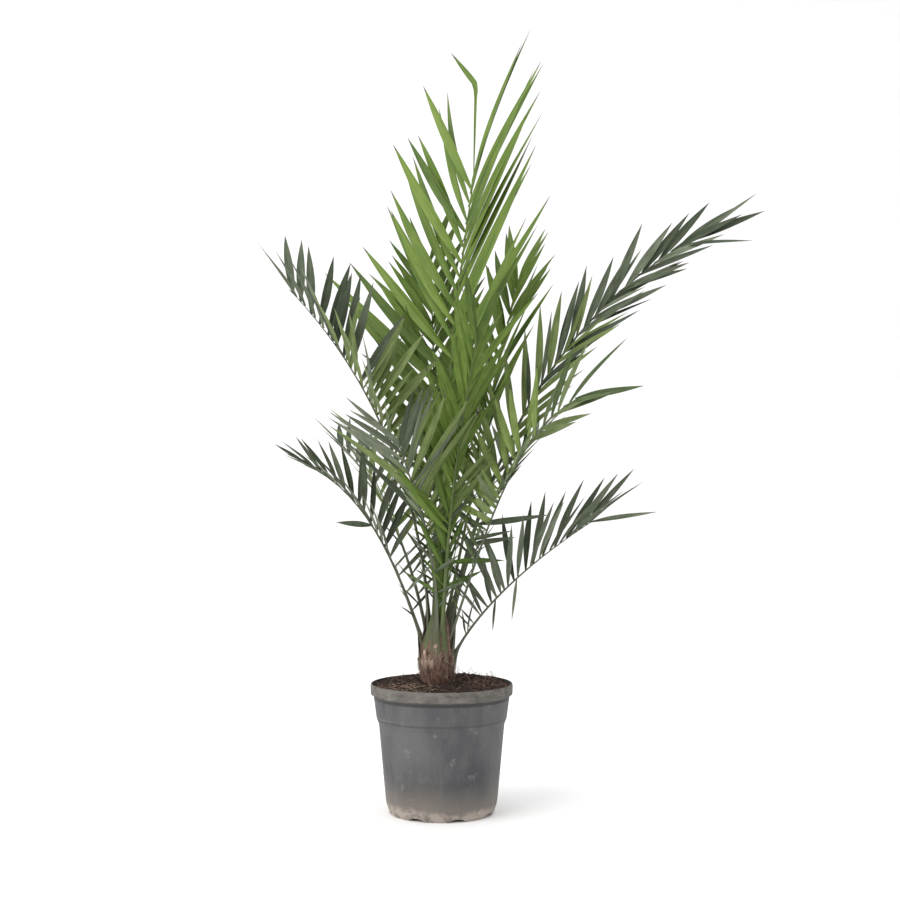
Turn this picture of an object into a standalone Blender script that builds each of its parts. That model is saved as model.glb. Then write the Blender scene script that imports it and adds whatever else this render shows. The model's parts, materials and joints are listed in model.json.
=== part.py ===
"""Young Canary Island date palm in a round nursery pot, as a Blender scene.

Metres, +Z up, with the origin at the middle of the pot's flat underside. The palm is a short fibrous
stem that stands on the soil and carries one arching frond for each entry of FRONDS. Each frond is one
closed blade: a tapering rib and its folded leaflets, fused. The right-hand side is +X and the front -Y.
"""

import math
import random
from dataclasses import dataclass

import bmesh
import bpy
from mathutils import Vector
from mathutils.bvhtree import BVHTree

# --- driving dimensions -----------------------------------------------------------------------------

CLEARANCE = 0.0003  # Gap that every solid keeps to its neighbour
UP = Vector((0.0, 0.0, 1.0))

POT_SEGMENTS = 36
POT_HEIGHT = 0.2168
RIM_RADIUS = 0.1195
FOOT_RADIUS = 0.0868
CHANNEL_RISE = 0.0065  # How far the ring channel under the pot stands above the ground
NOTCH_COUNT = 8  # Arches cut through the foot ring, each beside a drain hole
NOTCH_WIDTH = 0.033
NOTCH_HEIGHT = 0.0055
NOTCH_TURN = 17.0  # Degrees from the front to the middle of the first arch
DRAIN_RADIUS = 0.006
DRAIN_CIRCLE = 0.0695

SOIL_EDGE = 0.2125  # Height of the soil at the pot's wall
SOIL_CROWN = 0.2180  # Height of the flat place where the stem stands
SOIL_HEAP_RUN = 0.055  # Distance from the wall over which it rises to that height
SOIL_LUMP = 0.0022
SOIL_LUMP_RUN = 0.012
SOIL_BACK = 0.0022  # How much higher it is heaped at the back, and how far back it is so
SOIL_BACK_RUN = 0.08

STEM_SEGMENTS = 16
STEM_X = -0.008  # The palm was potted a little off the middle
STEM_RADIUS = 0.0290
STEM_HEIGHT = 0.094
STUB_COUNT = 7  # Cut bases of old fronds round the stem
STUB_LENGTH = 0.026
STUB_WIDTH = (0.008, 0.010)  # Half-width at its foot
STUB_THICK = (0.006, 0.0016)  # Half-thickness at its foot and at its tip
STUB_TAPER = 0.3  # Its tip's width against its foot's
STUB_LEAN = 0.22
FIRST_STUB_LONGER = 1.7
STUB_FIRST = 170.0  # Heading of the lowest, and the turn from each to the next
STUB_TURN = 137.5
STUB_LOWEST = 0.004  # Height of the lowest above the stem's flat cut, and the step to each next
STUB_STEP = 0.0035

RIB_STEPS = 48
STEPS_PER_STATION = 3  # The rib's solid has a ring at each station
SHEATH_SHARE = 0.12  # Share of the rib over which its foot widens into a sheath
SHEATH_FLARE = 0.7
RIB_TIP_SHARE = 0.2  # Half-width at the tip against the half-width above the sheath
RIB_TAPER = 0.8  # Below 1 the rib thins mostly near its foot
RIB_SECTION = ((1.0, 0.55), (-1.0, 0.55), (-0.75, -0.75), (0.75, -0.75))  # Against the half-width

LEAF_ROOT_SHARE = 0.42  # Width of a leaflet at its root, against its greatest width
LEAF_WIDEST = 0.38  # Where along a leaflet it is widest
LEAF_DEPTH = 0.014  # From its edges down to its keel, against its length
LEAF_EDGE = 0.4  # Share of that depth by which the edges stand above its root's middle
ROW_STAGGER = 0.25  # How far the two rows are set off from each other, against a pair's step
ROW_UNREST = 0.2
LENGTH_UNREST = 0.08
FIRST_LENGTH = 0.3  # The first full leaflet's length and width against the longest one's
FIRST_WIDTH = 0.25
FALL_FROM = 0.45  # Share of the rows after which leaflets grow shorter
FALL_THINNER = 0.15
LAST_SHARE = 0.995  # Share of the rib where the last leaflet grows
SNAP_SHARE = 0.69  # Where a snapped leaflet is bent, and by how much
SNAP_ANGLE = 35.0
SNAPPED_LENGTH = 0.267
SNAPPED_SPREAD = 7.0
SNAPPED_LIFT = 47.0
SNAPPED_WIDTH = 0.5
LEAF_MARGIN = 0.0008  # How much larger a leaflet is taken to be when it looks for free space
FIRST_SPINE = 0.13  # Share of the rib where the short stiff lowest leaflets begin
SPINE_LENGTH = (0.045, 0.090)  # At the lowest of them and at the highest
SPINE_WIDTH = (0.0045, 0.0080)
SPINE_SPREAD = (58.0, 12.0)  # Mean, and most that it strays
SPINE_LIFT = (32.0, 18.0)
SPINE_ROW_UNREST = 0.15
SPINE_LENGTH_UNREST = 0.25

# Changes of spread and lift, in degrees, that a leaflet tries in turn to grow past what is in its way
SWINGS = (
    (0, 0), (7, 0), (-7, 0), (0, 12), (0, -12), (8, 14), (-8, -14), (14, 0), (-14, 0), (8, -24), (-8, 24),
)
SHORTER = (1.0, 0.82, 0.64)

POT_GREY = (0.120, 0.130, 0.135, 1.0)
SOIL_BROWN = (0.045, 0.026, 0.018, 1.0)
FIBRE_BROWN = (0.210, 0.115, 0.070, 1.0)
YOUNG_GREEN = (0.115, 0.205, 0.035, 1.0)
OLD_GREEN = (0.075, 0.110, 0.065, 1.0)
SMOOTH_BELOW = math.radians(32)


@dataclass(frozen=True)
class Frond:
    """One frond. Angles are in degrees and lengths in metres; 0 heads to +X and 90 to +Y."""

    name: str
    foot: tuple  # Where the rib's axis starts, inside the stem
    heading: float
    lean: tuple  # Angle from upright at the foot and at the tip
    length: float
    swing: float = 0.0  # Change of heading from foot to tip
    bend: float = 1.2  # Above 1 the rib bends mostly near its tip
    roll: tuple = (0.0, 0.0)  # Turn of the blade about its rib at the foot, and what the tip adds
    petiole: float = 0.38  # Share of the rib below the first full leaflet
    pairs: int = 16
    spines: int = 4  # Pairs of short leaflets below the first full one
    leaflet: float = 0.15
    width: float = 0.013
    spread: tuple = (64.0, 24.0)  # Angle between leaflet and rib at the first and at the last
    uneven: float = 0.0  # How much wider the second row spreads than the mean of both
    lift: tuple = (45.0, 30.0)  # How far the two rows stand up out of the blade's plane
    unrest: tuple = (7.0, 12.0)  # Most that spread and lift stray
    rise: float = 0.2  # Share of the rows over which leaflets reach their full length
    tip_share: float = 0.75  # Length of the last leaflet against the longest
    thick: float = 0.0040  # Half the rib's width above its sheath
    young: bool = False
    snapped: bool = False  # Whether the last leaflet's end has snapped over
    seed: int = 1
    strays: tuple = ()  # Leaflets that stand apart: share of rib, side, spread, lift, length and width of each


FRONDS = (
    Frond(
        name="frond_centre", foot=(-0.0080, 0.0030, 0.285), heading=70.5, lean=(1.8, 17.1), length=0.819,
        swing=-10.7, bend=0.8, roll=(-6.4, -22), petiole=0.412, pairs=17, spines=6, leaflet=0.330,
        width=0.0215, spread=(45.4, 32.7), uneven=-1.0, lift=(11.1, 0.8), unrest=(6, 10), rise=0.15,
        tip_share=0.88, thick=0.0060, young=True, snapped=True, seed=74,
    ),
    Frond(
        name="frond_right_upper", foot=(0.0050, 0.0035, 0.280), heading=17.1, lean=(12.7, 60.1), length=0.839,
        swing=-11, bend=1.45, roll=(52.6, 11.8), petiole=0.229, pairs=18, spines=2, leaflet=0.142,
        width=0.0150, spread=(49.3, 8.0), uneven=2.0, lift=(58.8, -0.9), tip_share=0.99, thick=0.0046, seed=264,
        strays=(
            (0.25, 1, 66, 0, 0.128, 0.0120),
            (0.208, 1, 66, 0, 0.081, 0.0100),
            (0.979, 1, 44, 27, 0.129, 0.0105),
            (0.833, 1, 24, -27, 0.115, 0.0105),
            (0.985, -1, 4, 24, 0.158, 0.0080),
        ),
    ),
    Frond(
        name="frond_left_upper", foot=(-0.0200, 0.0060, 0.286), heading=173, lean=(1.5, 45.2), length=0.663,
        swing=-8, bend=1.08, roll=(-30.1, 13.3), petiole=0.406, pairs=16, leaflet=0.148, width=0.0170,
        spread=(75.9, 34.3), lift=(44.4, 50.7), tip_share=0.77, seed=180,
    ),
    Frond(
        name="frond_right_lower", foot=(0.0174, 0.0000, 0.2551), heading=3, lean=(15, 58), length=0.340,
        bend=0.4, roll=(0, 12), petiole=0.17, pairs=13, spines=1, leaflet=0.128, width=0.0130,
        spread=(88, 12), lift=(65, 34), rise=0.3, tip_share=1.0, seed=30,
        strays=(
            (0.98, 1, 30, -33, 0.115, 0.0110),
            (0.52, 1, 138, -60, 0.073, 0.0060),
            (0.375, 1, 140, -60, 0.057, 0.0050),
        ),
    ),
    Frond(
        name="frond_left_lower", foot=(-0.0263, -0.0020, 0.2687), heading=156.2, lean=(20, 71.8), length=0.394,
        swing=60, bend=2.6, roll=(-35.4, 1.2), petiole=0.359, pairs=15, spines=3, leaflet=0.107, width=0.0125,
        spread=(53.8, 13.3), uneven=8.6, lift=(52.7, 12.0), tip_share=0.64, seed=391,
        strays=((0.59, -1, 52, -40, 0.064, 0.0115),),
    ),
    Frond(
        name="frond_right_mid", foot=(0.0075, -0.0055, 0.2726), heading=-23.3, lean=(19.5, 62), length=0.488,
        bend=3.5, roll=(29.2, 15.4), petiole=0.397, pairs=15, spines=3, leaflet=0.140, width=0.0160,
        spread=(87.2, 31.2), uneven=-0.7, lift=(36.7, 1.3), tip_share=1.01, seed=363,
    ),
    Frond(
        name="frond_left_front", foot=(-0.0094, -0.0165, 0.2817), heading=204.3, lean=(-4.1, 62), length=0.395,
        swing=60, bend=1.31, roll=(1.1, 18.4), petiole=0.363, pairs=14, spines=3, leaflet=0.195, width=0.0150,
        spread=(61, 24.6), lift=(38.8, 15.9), tip_share=0.68, seed=76,
    ),
    Frond(
        name="frond_back_right", foot=(-0.0005, 0.0150, 0.285), heading=34, lean=(15, 33), length=0.664,
        swing=27, bend=3.5, petiole=0.32, pairs=16, spines=3, leaflet=0.190, width=0.0180,
        spread=(50, 18), lift=(30, 16), tip_share=0.7, young=True, seed=6,
    ),
    Frond(
        name="frond_back_left", foot=(-0.0125, 0.0145, 0.285), heading=88, lean=(9, 27), length=0.700,
        swing=8, petiole=0.30, pairs=16, spines=3, leaflet=0.180, width=0.0180,
        spread=(48, 18), lift=(28, 14), tip_share=0.7, young=True, seed=5,
    ),
    Frond(
        name="frond_inner", foot=(0.0006, -0.0120, 0.281), heading=-62, lean=(5, 24), length=0.520,
        petiole=0.16, pairs=16, spines=1, leaflet=0.165, width=0.0170, spread=(34, 17), lift=(34, 20),
        young=True, seed=12,
        strays=(
            (0.27, -1, 74, -8, 0.104, 0.0110),
            (0.19, -1, 66, -4, 0.082, 0.0100),
        ),
    ),
    Frond(
        name="frond_rear_left", foot=(-0.0200, 0.0160, 0.268), heading=125, lean=(18, 66), length=0.460,
        petiole=0.34, pairs=12, spines=2, leaflet=0.125, seed=21,
    ),
    Frond(
        name="frond_rear", foot=(-0.0080, 0.0200, 0.268), heading=92, lean=(16, 58), length=0.560,
        petiole=0.36, pairs=14, spines=2, leaflet=0.135, seed=22,
    ),
    Frond(
        name="frond_rear_right", foot=(0.0070, 0.0165, 0.268), heading=55, lean=(18, 64), length=0.480,
        petiole=0.34, pairs=12, spines=2, leaflet=0.125, seed=23,
    ),
)

# Profiles run from the axis at the bottom, round the outside, back to the axis at the top
POT_PROFILE = (
    (0.0, 0.0),
    (0.0580, 0.0),
    (0.0605, CHANNEL_RISE),
    (0.0775, CHANNEL_RISE),
    (0.0790, 0.0),
    (FOOT_RADIUS, 0.0),
    (0.0934, 0.0180),
    (0.1054, 0.1490),
    (0.1094, 0.1598),
    (0.1144, 0.1970),
    (0.1190, 0.1994),
    (RIM_RADIUS, 0.2130),
    (0.1185, POT_HEIGHT),
    (0.1162, POT_HEIGHT),
    (0.1152, 0.2005),
    (0.1124, 0.1960),
    (0.1076, 0.1618),
    (0.1036, 0.1500),
    (0.0845, 0.0095),
    (0.0590, 0.0095),
    (0.0565, 0.0030),
    (0.0, 0.0030),
)
SOIL_WALL = (
    (0.0, 0.0033),
    (0.0561, 0.0033),
    (0.0586, 0.0098),
    (0.0842, 0.0098),
    (0.1033, 0.1500),
    (0.1073, 0.1618),
    (0.1121, 0.1960),
)
SOIL_RINGS = (0.1149, 0.0980, 0.0740, 0.0480)
# Radius against STEM_RADIUS and height against STEM_HEIGHT
STEM_PROFILE = (
    (0.0, 0.0),
    (0.76, 0.0),
    (0.88, 0.12),
    (0.97, 0.32),
    (0.91, 0.54),
    (0.80, 0.72),
    (0.66, 0.86),
    (0.44, 0.96),
    (0.0, 1.0),
)


# --- small tools --------------------------------------------------------------------------------------


def mix(ends, share):
    """The value this share of the way between two ends."""
    return ends[0] + (ends[1] - ends[0]) * share


def smooth(share):
    """A share eased at both ends."""
    share = min(max(share, 0.0), 1.0)
    return share * share * (3.0 - 2.0 * share)


def material(name, colour, roughness):
    """A plain Principled material."""
    made = bpy.data.materials.new(name)
    made.use_nodes = True
    made.diffuse_color = colour
    shader = made.node_tree.nodes["Principled BSDF"]
    shader.inputs["Base Color"].default_value = colour
    shader.inputs["Roughness"].default_value = roughness
    shader.inputs["Metallic"].default_value = 0.0
    return made


def mesh_of(name, vertices, faces):
    """A closed mesh with its faces turned outwards."""
    shape = bmesh.new()
    made = [shape.verts.new(vertex) for vertex in vertices]
    for face in faces:
        shape.faces.new([made[index] for index in face])
    bmesh.ops.recalc_face_normals(shape, faces=shape.faces[:])
    mesh = bpy.data.meshes.new(name)
    shape.to_mesh(mesh)
    shape.free()
    return mesh


def placed(name, mesh, finish=None, collection=None):
    """An object that holds the mesh, linked to the scene or to a collection of helpers."""
    made = bpy.data.objects.new(name, mesh)
    if finish:
        mesh.materials.append(finish)
    (collection or bpy.context.scene.collection).objects.link(made)
    return made


def helpers(name):
    """A new collection for shapes that are only fused or cut with."""
    made = bpy.data.collections.new(name)
    bpy.context.scene.collection.children.link(made)
    return made


def joined(target, operation, collection):
    """Fuses a collection's shapes to the target, or cuts them from it, and removes them."""
    modifier = target.modifiers.new("Join", "BOOLEAN")
    modifier.operation = operation
    modifier.operand_type = "COLLECTION"
    modifier.collection = collection
    modifier.solver = "EXACT"
    graph = bpy.context.evaluated_depsgraph_get()
    mesh = bpy.data.meshes.new_from_object(target.evaluated_get(graph))
    target.modifiers.remove(modifier)
    old = target.data
    target.data = mesh
    bpy.data.meshes.remove(old)
    for helper in list(collection.objects):
        shape = helper.data
        bpy.data.objects.remove(helper)
        if shape.users == 0:
            bpy.data.meshes.remove(shape)
    bpy.data.collections.remove(collection)


def turned(profile, segments, centre=(0.0, 0.0, 0.0)):
    """Vertices and faces of a solid turned about the vertical, from a profile that ends on the axis."""
    vertices = []
    rings = []
    for radius, height in profile:
        count = segments if radius > 0.0 else 1
        rings.append([len(vertices) + index for index in range(count)])
        for index in range(count):
            angle = math.tau * index / segments
            offset = Vector((radius * math.cos(angle), radius * math.sin(angle), height))
            vertices.append(Vector(centre) + offset)
    faces = []
    for low, high in zip(rings, rings[1:]):
        for index in range(segments):
            after = (index + 1) % segments
            corners = [low[index % len(low)], low[after % len(low)]]
            corners += [high[after % len(high)], high[index % len(high)]]
            faces.append(list(dict.fromkeys(corners)))
    return vertices, faces


# --- pot, soil and stem -------------------------------------------------------------------------------


def build_pot(finish):
    """A tapered pot with a band under its rim, a ring channel, eight foot arches and drain holes."""
    pot = placed("pot", mesh_of("pot", *turned(POT_PROFILE, POT_SEGMENTS)), finish)
    cutters = helpers("pot_cutters")
    arch_radius = (NOTCH_WIDTH**2 / 4 + NOTCH_HEIGHT**2) / (2 * NOTCH_HEIGHT)
    arch = turned(((0.0, -0.010), (arch_radius, -0.010), (arch_radius, 0.014), (0.0, 0.014)), 24)
    hole = turned(((0.0, 0.002), (DRAIN_RADIUS, 0.002), (DRAIN_RADIUS, 0.013), (0.0, 0.013)), 8)
    for index in range(NOTCH_COUNT):
        angle = math.tau * index / NOTCH_COUNT - math.pi / 2 + math.radians(NOTCH_TURN)
        outward = Vector((math.cos(angle), math.sin(angle), 0.0))
        tangent = UP.cross(outward)
        foot = outward * FOOT_RADIUS + UP * (NOTCH_HEIGHT - arch_radius)
        ring = [foot + tangent * point.x + UP * point.y + outward * point.z for point in arch[0]]
        placed("arch", mesh_of("arch", ring, arch[1]), collection=cutters)
        drain = [outward * DRAIN_CIRCLE + point for point in hole[0]]
        placed("drain", mesh_of("drain", drain, hole[1]), collection=cutters)
    joined(pot, "DIFFERENCE", cutters)
    return pot


def build_soil(finish):
    """Soil that fills the pot, heaped a little towards the stem and flat where the stem stands."""
    dice = random.Random(4)
    top = [(radius, SOIL_EDGE) for radius in SOIL_RINGS] + [(0.0, SOIL_EDGE)]
    vertices, faces = turned(SOIL_WALL + tuple(top), POT_SEGMENTS)
    for vertex in vertices:
        if vertex.z < SOIL_EDGE - 0.001:
            continue
        from_wall = SOIL_RINGS[0] - vertex.xy.length
        heaped = smooth(from_wall / SOIL_HEAP_RUN)
        inward = smooth(from_wall / SOIL_LUMP_RUN)
        lump = dice.uniform(-1.0, 1.0) * SOIL_LUMP * inward
        back = SOIL_BACK * smooth(vertex.y / SOIL_BACK_RUN) * inward
        vertex.z = mix((SOIL_EDGE, SOIL_CROWN), heaped) + lump + back
        if vertex.xy.length < SOIL_RINGS[-1] + CLEARANCE:
            vertex.z = SOIL_CROWN
    return placed("soil", mesh_of("soil", vertices, faces), finish)


def stem_solid(margin=0.0):
    """The turned body of the stem, from its flat cut on the soil to its top, or a larger one."""
    base = SOIL_CROWN + CLEARANCE
    profile = []
    for radius, height in STEM_PROFILE:
        wider = radius * STEM_RADIUS + (margin if radius else 0.0)
        profile.append((wider, base + height * STEM_HEIGHT + margin * mix((-1.0, 1.0), height)))
    return turned(profile, STEM_SEGMENTS, (STEM_X, 0.0, 0.0))


def stub_solids(margin=0.0):
    """The cut bases of old fronds in a spiral: wedges that lean out of the stem to a blunt tip."""
    dice = random.Random(8)
    solids = []
    for index in range(STUB_COUNT):
        angle = math.radians(STUB_FIRST + STUB_TURN * index)
        outward = Vector((math.cos(angle), math.sin(angle), 0.0))
        tangent = UP.cross(outward)
        length = STUB_LENGTH * dice.uniform(0.75, 1.05) * (1.0 if index else FIRST_STUB_LONGER)
        width = dice.uniform(*STUB_WIDTH)
        foot = Vector((STEM_X, 0.0, SOIL_CROWN + CLEARANCE + STUB_LOWEST + STUB_STEP * index))
        foot += outward * (STEM_RADIUS * 0.86)
        tip = foot + UP * length + outward * (length * STUB_LEAN)
        corners = []
        ends = ((foot, width, STUB_THICK[0], -margin), (tip, width * STUB_TAPER, STUB_THICK[1], margin))
        for centre, half, thick, rise in ends:
            for sideways, forward in ((-1, -1), (1, -1), (1, 1), (-1, 1)):
                beside = tangent * ((half + margin) * sideways)
                before = outward * ((thick + margin) * forward)
                corners.append(centre + beside + before + UP * rise)
        faces = [(0, 1, 2, 3), (4, 5, 6, 7), (0, 1, 5, 4), (1, 2, 6, 5), (2, 3, 7, 6), (3, 0, 4, 7)]
        solids.append((corners, faces))
    return solids


def build_stem(finish):
    """The short swollen stem with the stubs of old fronds fused to it."""
    stem = placed("stem", mesh_of("stem", *stem_solid()), finish)
    stubs = helpers("stubs")
    for solid in stub_solids():
        placed("stub", mesh_of("stub", *solid), collection=stubs)
    joined(stem, "UNION", stubs)
    return stem


# --- fronds -------------------------------------------------------------------------------------------


@dataclass(frozen=True)
class Station:
    """A point of a rib, with the directions along it, out of its upper face and to its side."""

    share: float
    point: Vector
    along: Vector
    face: Vector
    side: Vector


@dataclass(frozen=True)
class Leaflet:
    """One folded leaflet: its root, the way it points, the way its blade lies and its size."""

    root: Vector
    along: Vector
    across: Vector
    upward: Vector
    length: float
    width: float
    snapped: bool = False


def rib_stations(frond):
    """Stations along a rib whose lean and heading change steadily from foot to tip."""
    stations = []
    point = Vector(frond.foot)
    step = frond.length / RIB_STEPS
    for index in range(RIB_STEPS + 1):
        share = index / RIB_STEPS
        lean = math.radians(mix(frond.lean, share**frond.bend))
        heading = math.radians(frond.heading + frond.swing * share)
        roll = math.radians(frond.roll[0] + frond.roll[1] * share)
        outward = Vector((math.cos(heading), math.sin(heading), 0.0))
        along = outward * math.sin(lean) + UP * math.cos(lean)
        face = UP * math.sin(lean) - outward * math.cos(lean)
        face = face * math.cos(roll) + along.cross(face) * math.sin(roll)
        if stations:
            point = point + (stations[-1].along + along) * (step / 2)
        stations.append(Station(share, point, along, face, along.cross(face)))
    return stations[::STEPS_PER_STATION]


def station_at(stations, share):
    """The station at any share of the rib, between its neighbours."""
    place = min(share, 0.9999) * (len(stations) - 1)
    low, high = stations[int(place)], stations[int(place) + 1]
    part = place - int(place)
    along = low.along.lerp(high.along, part).normalized()
    face = low.face.lerp(high.face, part)
    face = (face - along * face.dot(along)).normalized()
    return Station(share, low.point.lerp(high.point, part), along, face, along.cross(face))


def half_width(frond, share):
    """Half the rib's width: a sheath at the foot, then a steady taper."""
    taper = 1.0 - (1.0 - RIB_TIP_SHARE) * share**RIB_TAPER
    sheath = SHEATH_FLARE * (1.0 - smooth(share / SHEATH_SHARE))
    return frond.thick * (taper + sheath)


def rib_solid(frond, stations):
    """The rib as a four-sided bar with a broad upper face and upright sides for the leaflets."""
    vertices = []
    for at in stations:
        half = half_width(frond, at.share)
        for sideways, outward in RIB_SECTION:
            vertices.append(at.point + at.side * (half * sideways) + at.face * (half * outward))
    last = 4 * (len(stations) - 1)
    faces = [(0, 1, 2, 3), (last, last + 1, last + 2, last + 3)]
    for low in range(0, last, 4):
        for corner in range(4):
            after = (corner + 1) % 4
            faces.append((low + corner, low + after, low + after + 4, low + corner + 4))
    return vertices, faces


def leaflet_solid(leaflet, margin=0.0):
    """A leaflet as a thin three-sided blade: its root, its widest place and its tip."""
    depth = leaflet.length * LEAF_DEPTH
    widest = SNAP_SHARE if leaflet.snapped else LEAF_WIDEST
    middle = leaflet.root + leaflet.along * (leaflet.length * widest)
    vertices = []
    for centre, share in ((leaflet.root, LEAF_ROOT_SHARE), (middle, 1.0)):
        half = leaflet.width * share / 2 + margin
        edge = centre + leaflet.upward * (LEAF_EDGE * depth * share + margin)
        vertices.append(edge - leaflet.across * half)
        vertices.append(edge + leaflet.across * half)
        vertices.append(centre - leaflet.upward * ((1.0 - LEAF_EDGE) * depth * share + margin))
    turn = math.radians(SNAP_ANGLE if leaflet.snapped else 0.0)
    onward = leaflet.along * math.cos(turn) - leaflet.across * math.sin(turn)
    vertices.append(middle + onward * (leaflet.length * (1.0 - widest) + margin))
    faces = [(0, 1, 2)]
    for corner in range(3):
        after = (corner + 1) % 3
        faces.append((corner, after, after + 3, corner + 3))
        faces.append((corner + 3, after + 3, 6))
    return vertices, faces


def aimed(at, side, spread, lift):
    """The directions of a leaflet on one side of the rib: along it, across it and out of it."""
    outward = at.side * (side * math.cos(lift)) + at.face * math.sin(lift)
    along = at.along * math.cos(spread) + outward * math.sin(spread)
    across = (at.along - along * at.along.dot(along)).normalized()
    upward = along.cross(across)
    if upward.dot(at.face) < 0.0:
        upward = -upward
    return along, across, upward


def leaflet_plans(frond):
    """Where leaflets should go, as (share of rib, side, spread, lift, length, width, snapped)."""
    dice = random.Random(frond.seed)
    plans = []
    for index in range(frond.pairs):
        for side in (-1, 1):
            shift, opened, raised, longer = (dice.uniform(-1.0, 1.0) for _ in range(4))
            row = (index + 0.5 + ROW_STAGGER * side + ROW_UNREST * shift) / frond.pairs
            share = min(mix((frond.petiole, 1.0), row), LAST_SHARE)
            rise = smooth(row / frond.rise)
            fall = 1.0 - (1.0 - frond.tip_share) * smooth((row - FALL_FROM) / (1.0 - FALL_FROM))
            spread = mix(frond.spread, row) + frond.uneven * side + frond.unrest[0] * opened
            lift = mix(frond.lift, row) + frond.unrest[1] * raised
            length = frond.leaflet * mix((FIRST_LENGTH, 1.0), rise) * fall * (1.0 + LENGTH_UNREST * longer)
            width = frond.width * mix((FIRST_WIDTH, 1.0), rise) * mix((1.0 - FALL_THINNER, 1.0), fall)
            plans.append((share, side, spread, lift, length, width, False))
    for index in range(frond.spines):
        for side in (-1, 1):
            shift, opened, raised, longer = (dice.uniform(-1.0, 1.0) for _ in range(4))
            row = (index + 0.5 + ROW_STAGGER * side + SPINE_ROW_UNREST * shift) / frond.spines
            share = mix((FIRST_SPINE, frond.petiole), row)
            spread = SPINE_SPREAD[0] + SPINE_SPREAD[1] * opened
            lift = SPINE_LIFT[0] + SPINE_LIFT[1] * raised
            length = mix(SPINE_LENGTH, row) * (1.0 + SPINE_LENGTH_UNREST * longer)
            plans.append((share, side, spread, lift, length, mix(SPINE_WIDTH, row), False))
    for share, side, spread, lift, length, width in frond.strays:
        plans.append((share, side, spread, lift, length, width, False))
    if frond.snapped:
        width = frond.width * SNAPPED_WIDTH
        plans.append((LAST_SHARE, -1, SNAPPED_SPREAD, SNAPPED_LIFT, SNAPPED_LENGTH, width, True))
    return plans


def grown(frond, stations, obstacles):
    """The frond's leaflets. One that would touch another frond swings aside, is shorter or is skipped."""
    leaflets = []
    for share, side, spread, lift, length, width, snapped in leaflet_plans(frond):
        at = station_at(stations, share)
        for shorter in SHORTER:
            for opened, raised in SWINGS:
                ways = aimed(at, side, math.radians(spread + opened), math.radians(lift + raised))
                leaflet = Leaflet(at.point, *ways, length * shorter, width, snapped)
                tree = BVHTree.FromPolygons(*leaflet_solid(leaflet, LEAF_MARGIN))
                if not any(tree.overlap(other) for other in obstacles):
                    break
            else:
                continue
            leaflets.append(leaflet)
            break
    return leaflets


def tree_of(shapes):
    """One search tree over several solids."""
    vertices = []
    faces = []
    for points, corners in shapes:
        faces += [tuple(len(vertices) + index for index in face) for face in corners]
        vertices += points
    return BVHTree.FromPolygons(vertices, faces)


def build_frond(frond, rib, leaflets, finish):
    """Fuses a rib and its leaflets and trims the rib's foot clear of the stem and its stubs."""
    blade = placed(frond.name, mesh_of(frond.name, *rib), finish)
    parts = helpers(frond.name + "_leaflets")
    for leaflet in leaflets:
        placed("leaflet", mesh_of("leaflet", *leaflet_solid(leaflet)), collection=parts)
    joined(blade, "UNION", parts)
    trimmers = helpers(frond.name + "_trimmers")
    for solid in [stem_solid(CLEARANCE)] + stub_solids(CLEARANCE):
        placed("trimmer", mesh_of("trimmer", *solid), collection=trimmers)
    joined(blade, "DIFFERENCE", trimmers)


def build_fronds(stem, soil, pot):
    """Every frond, in the order of FRONDS: the first ones take their space first."""
    young = material("young_frond", YOUNG_GREEN, 0.55)
    old = material("old_frond", OLD_GREEN, 0.60)
    still = [tree_of([points_of(solid)]) for solid in (stem, soil, pot)]
    courses = [rib_stations(frond) for frond in FRONDS]
    ribs = [rib_solid(frond, stations) for frond, stations in zip(FRONDS, courses)]
    rib_trees = [tree_of([rib]) for rib in ribs]
    blades = []
    for index, frond in enumerate(FRONDS):
        other_ribs = rib_trees[:index] + rib_trees[index + 1 :]
        leaflets = grown(frond, courses[index], still + other_ribs + blades)
        blades.append(tree_of([leaflet_solid(leaflet) for leaflet in leaflets]))
        finish = young if frond.young else old
        build_frond(frond, ribs[index], leaflets, finish)


def points_of(solid):
    """An object's vertices and faces as lists."""
    mesh = solid.data
    return [vertex.co.copy() for vertex in mesh.vertices], [tuple(face.vertices) for face in mesh.polygons]


def main():
    for old in list(bpy.data.objects):
        bpy.data.objects.remove(old)
    pot = build_pot(material("pot_plastic", POT_GREY, 0.65))
    soil = build_soil(material("soil", SOIL_BROWN, 0.95))
    stem = build_stem(material("stem_fibre", FIBRE_BROWN, 0.90))
    build_fronds(stem, soil, pot)
    for solid in (pot, soil, stem):
        solid.data.shade_smooth()
        solid.data.set_sharp_from_angle(angle=SMOOTH_BELOW)


main()
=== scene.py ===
"""Young Canary Island date palm in its nursery pot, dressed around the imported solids.

Metres, +Z up, origin at the middle of the pot's flat underside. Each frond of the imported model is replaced
by a round-backed rib and folded leaflets that grow by the same seeded rule, within the same reach. The pot,
the soil and the stem are replaced by finer meshes of the same size.
"""

import json
import logging
import math
import random
from dataclasses import dataclass
from enum import Enum
from typing import Callable, Iterable, Sequence

import bmesh
import bpy
from mathutils import Euler, Matrix, Vector, noise
from mathutils.bvhtree import BVHTree

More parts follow.
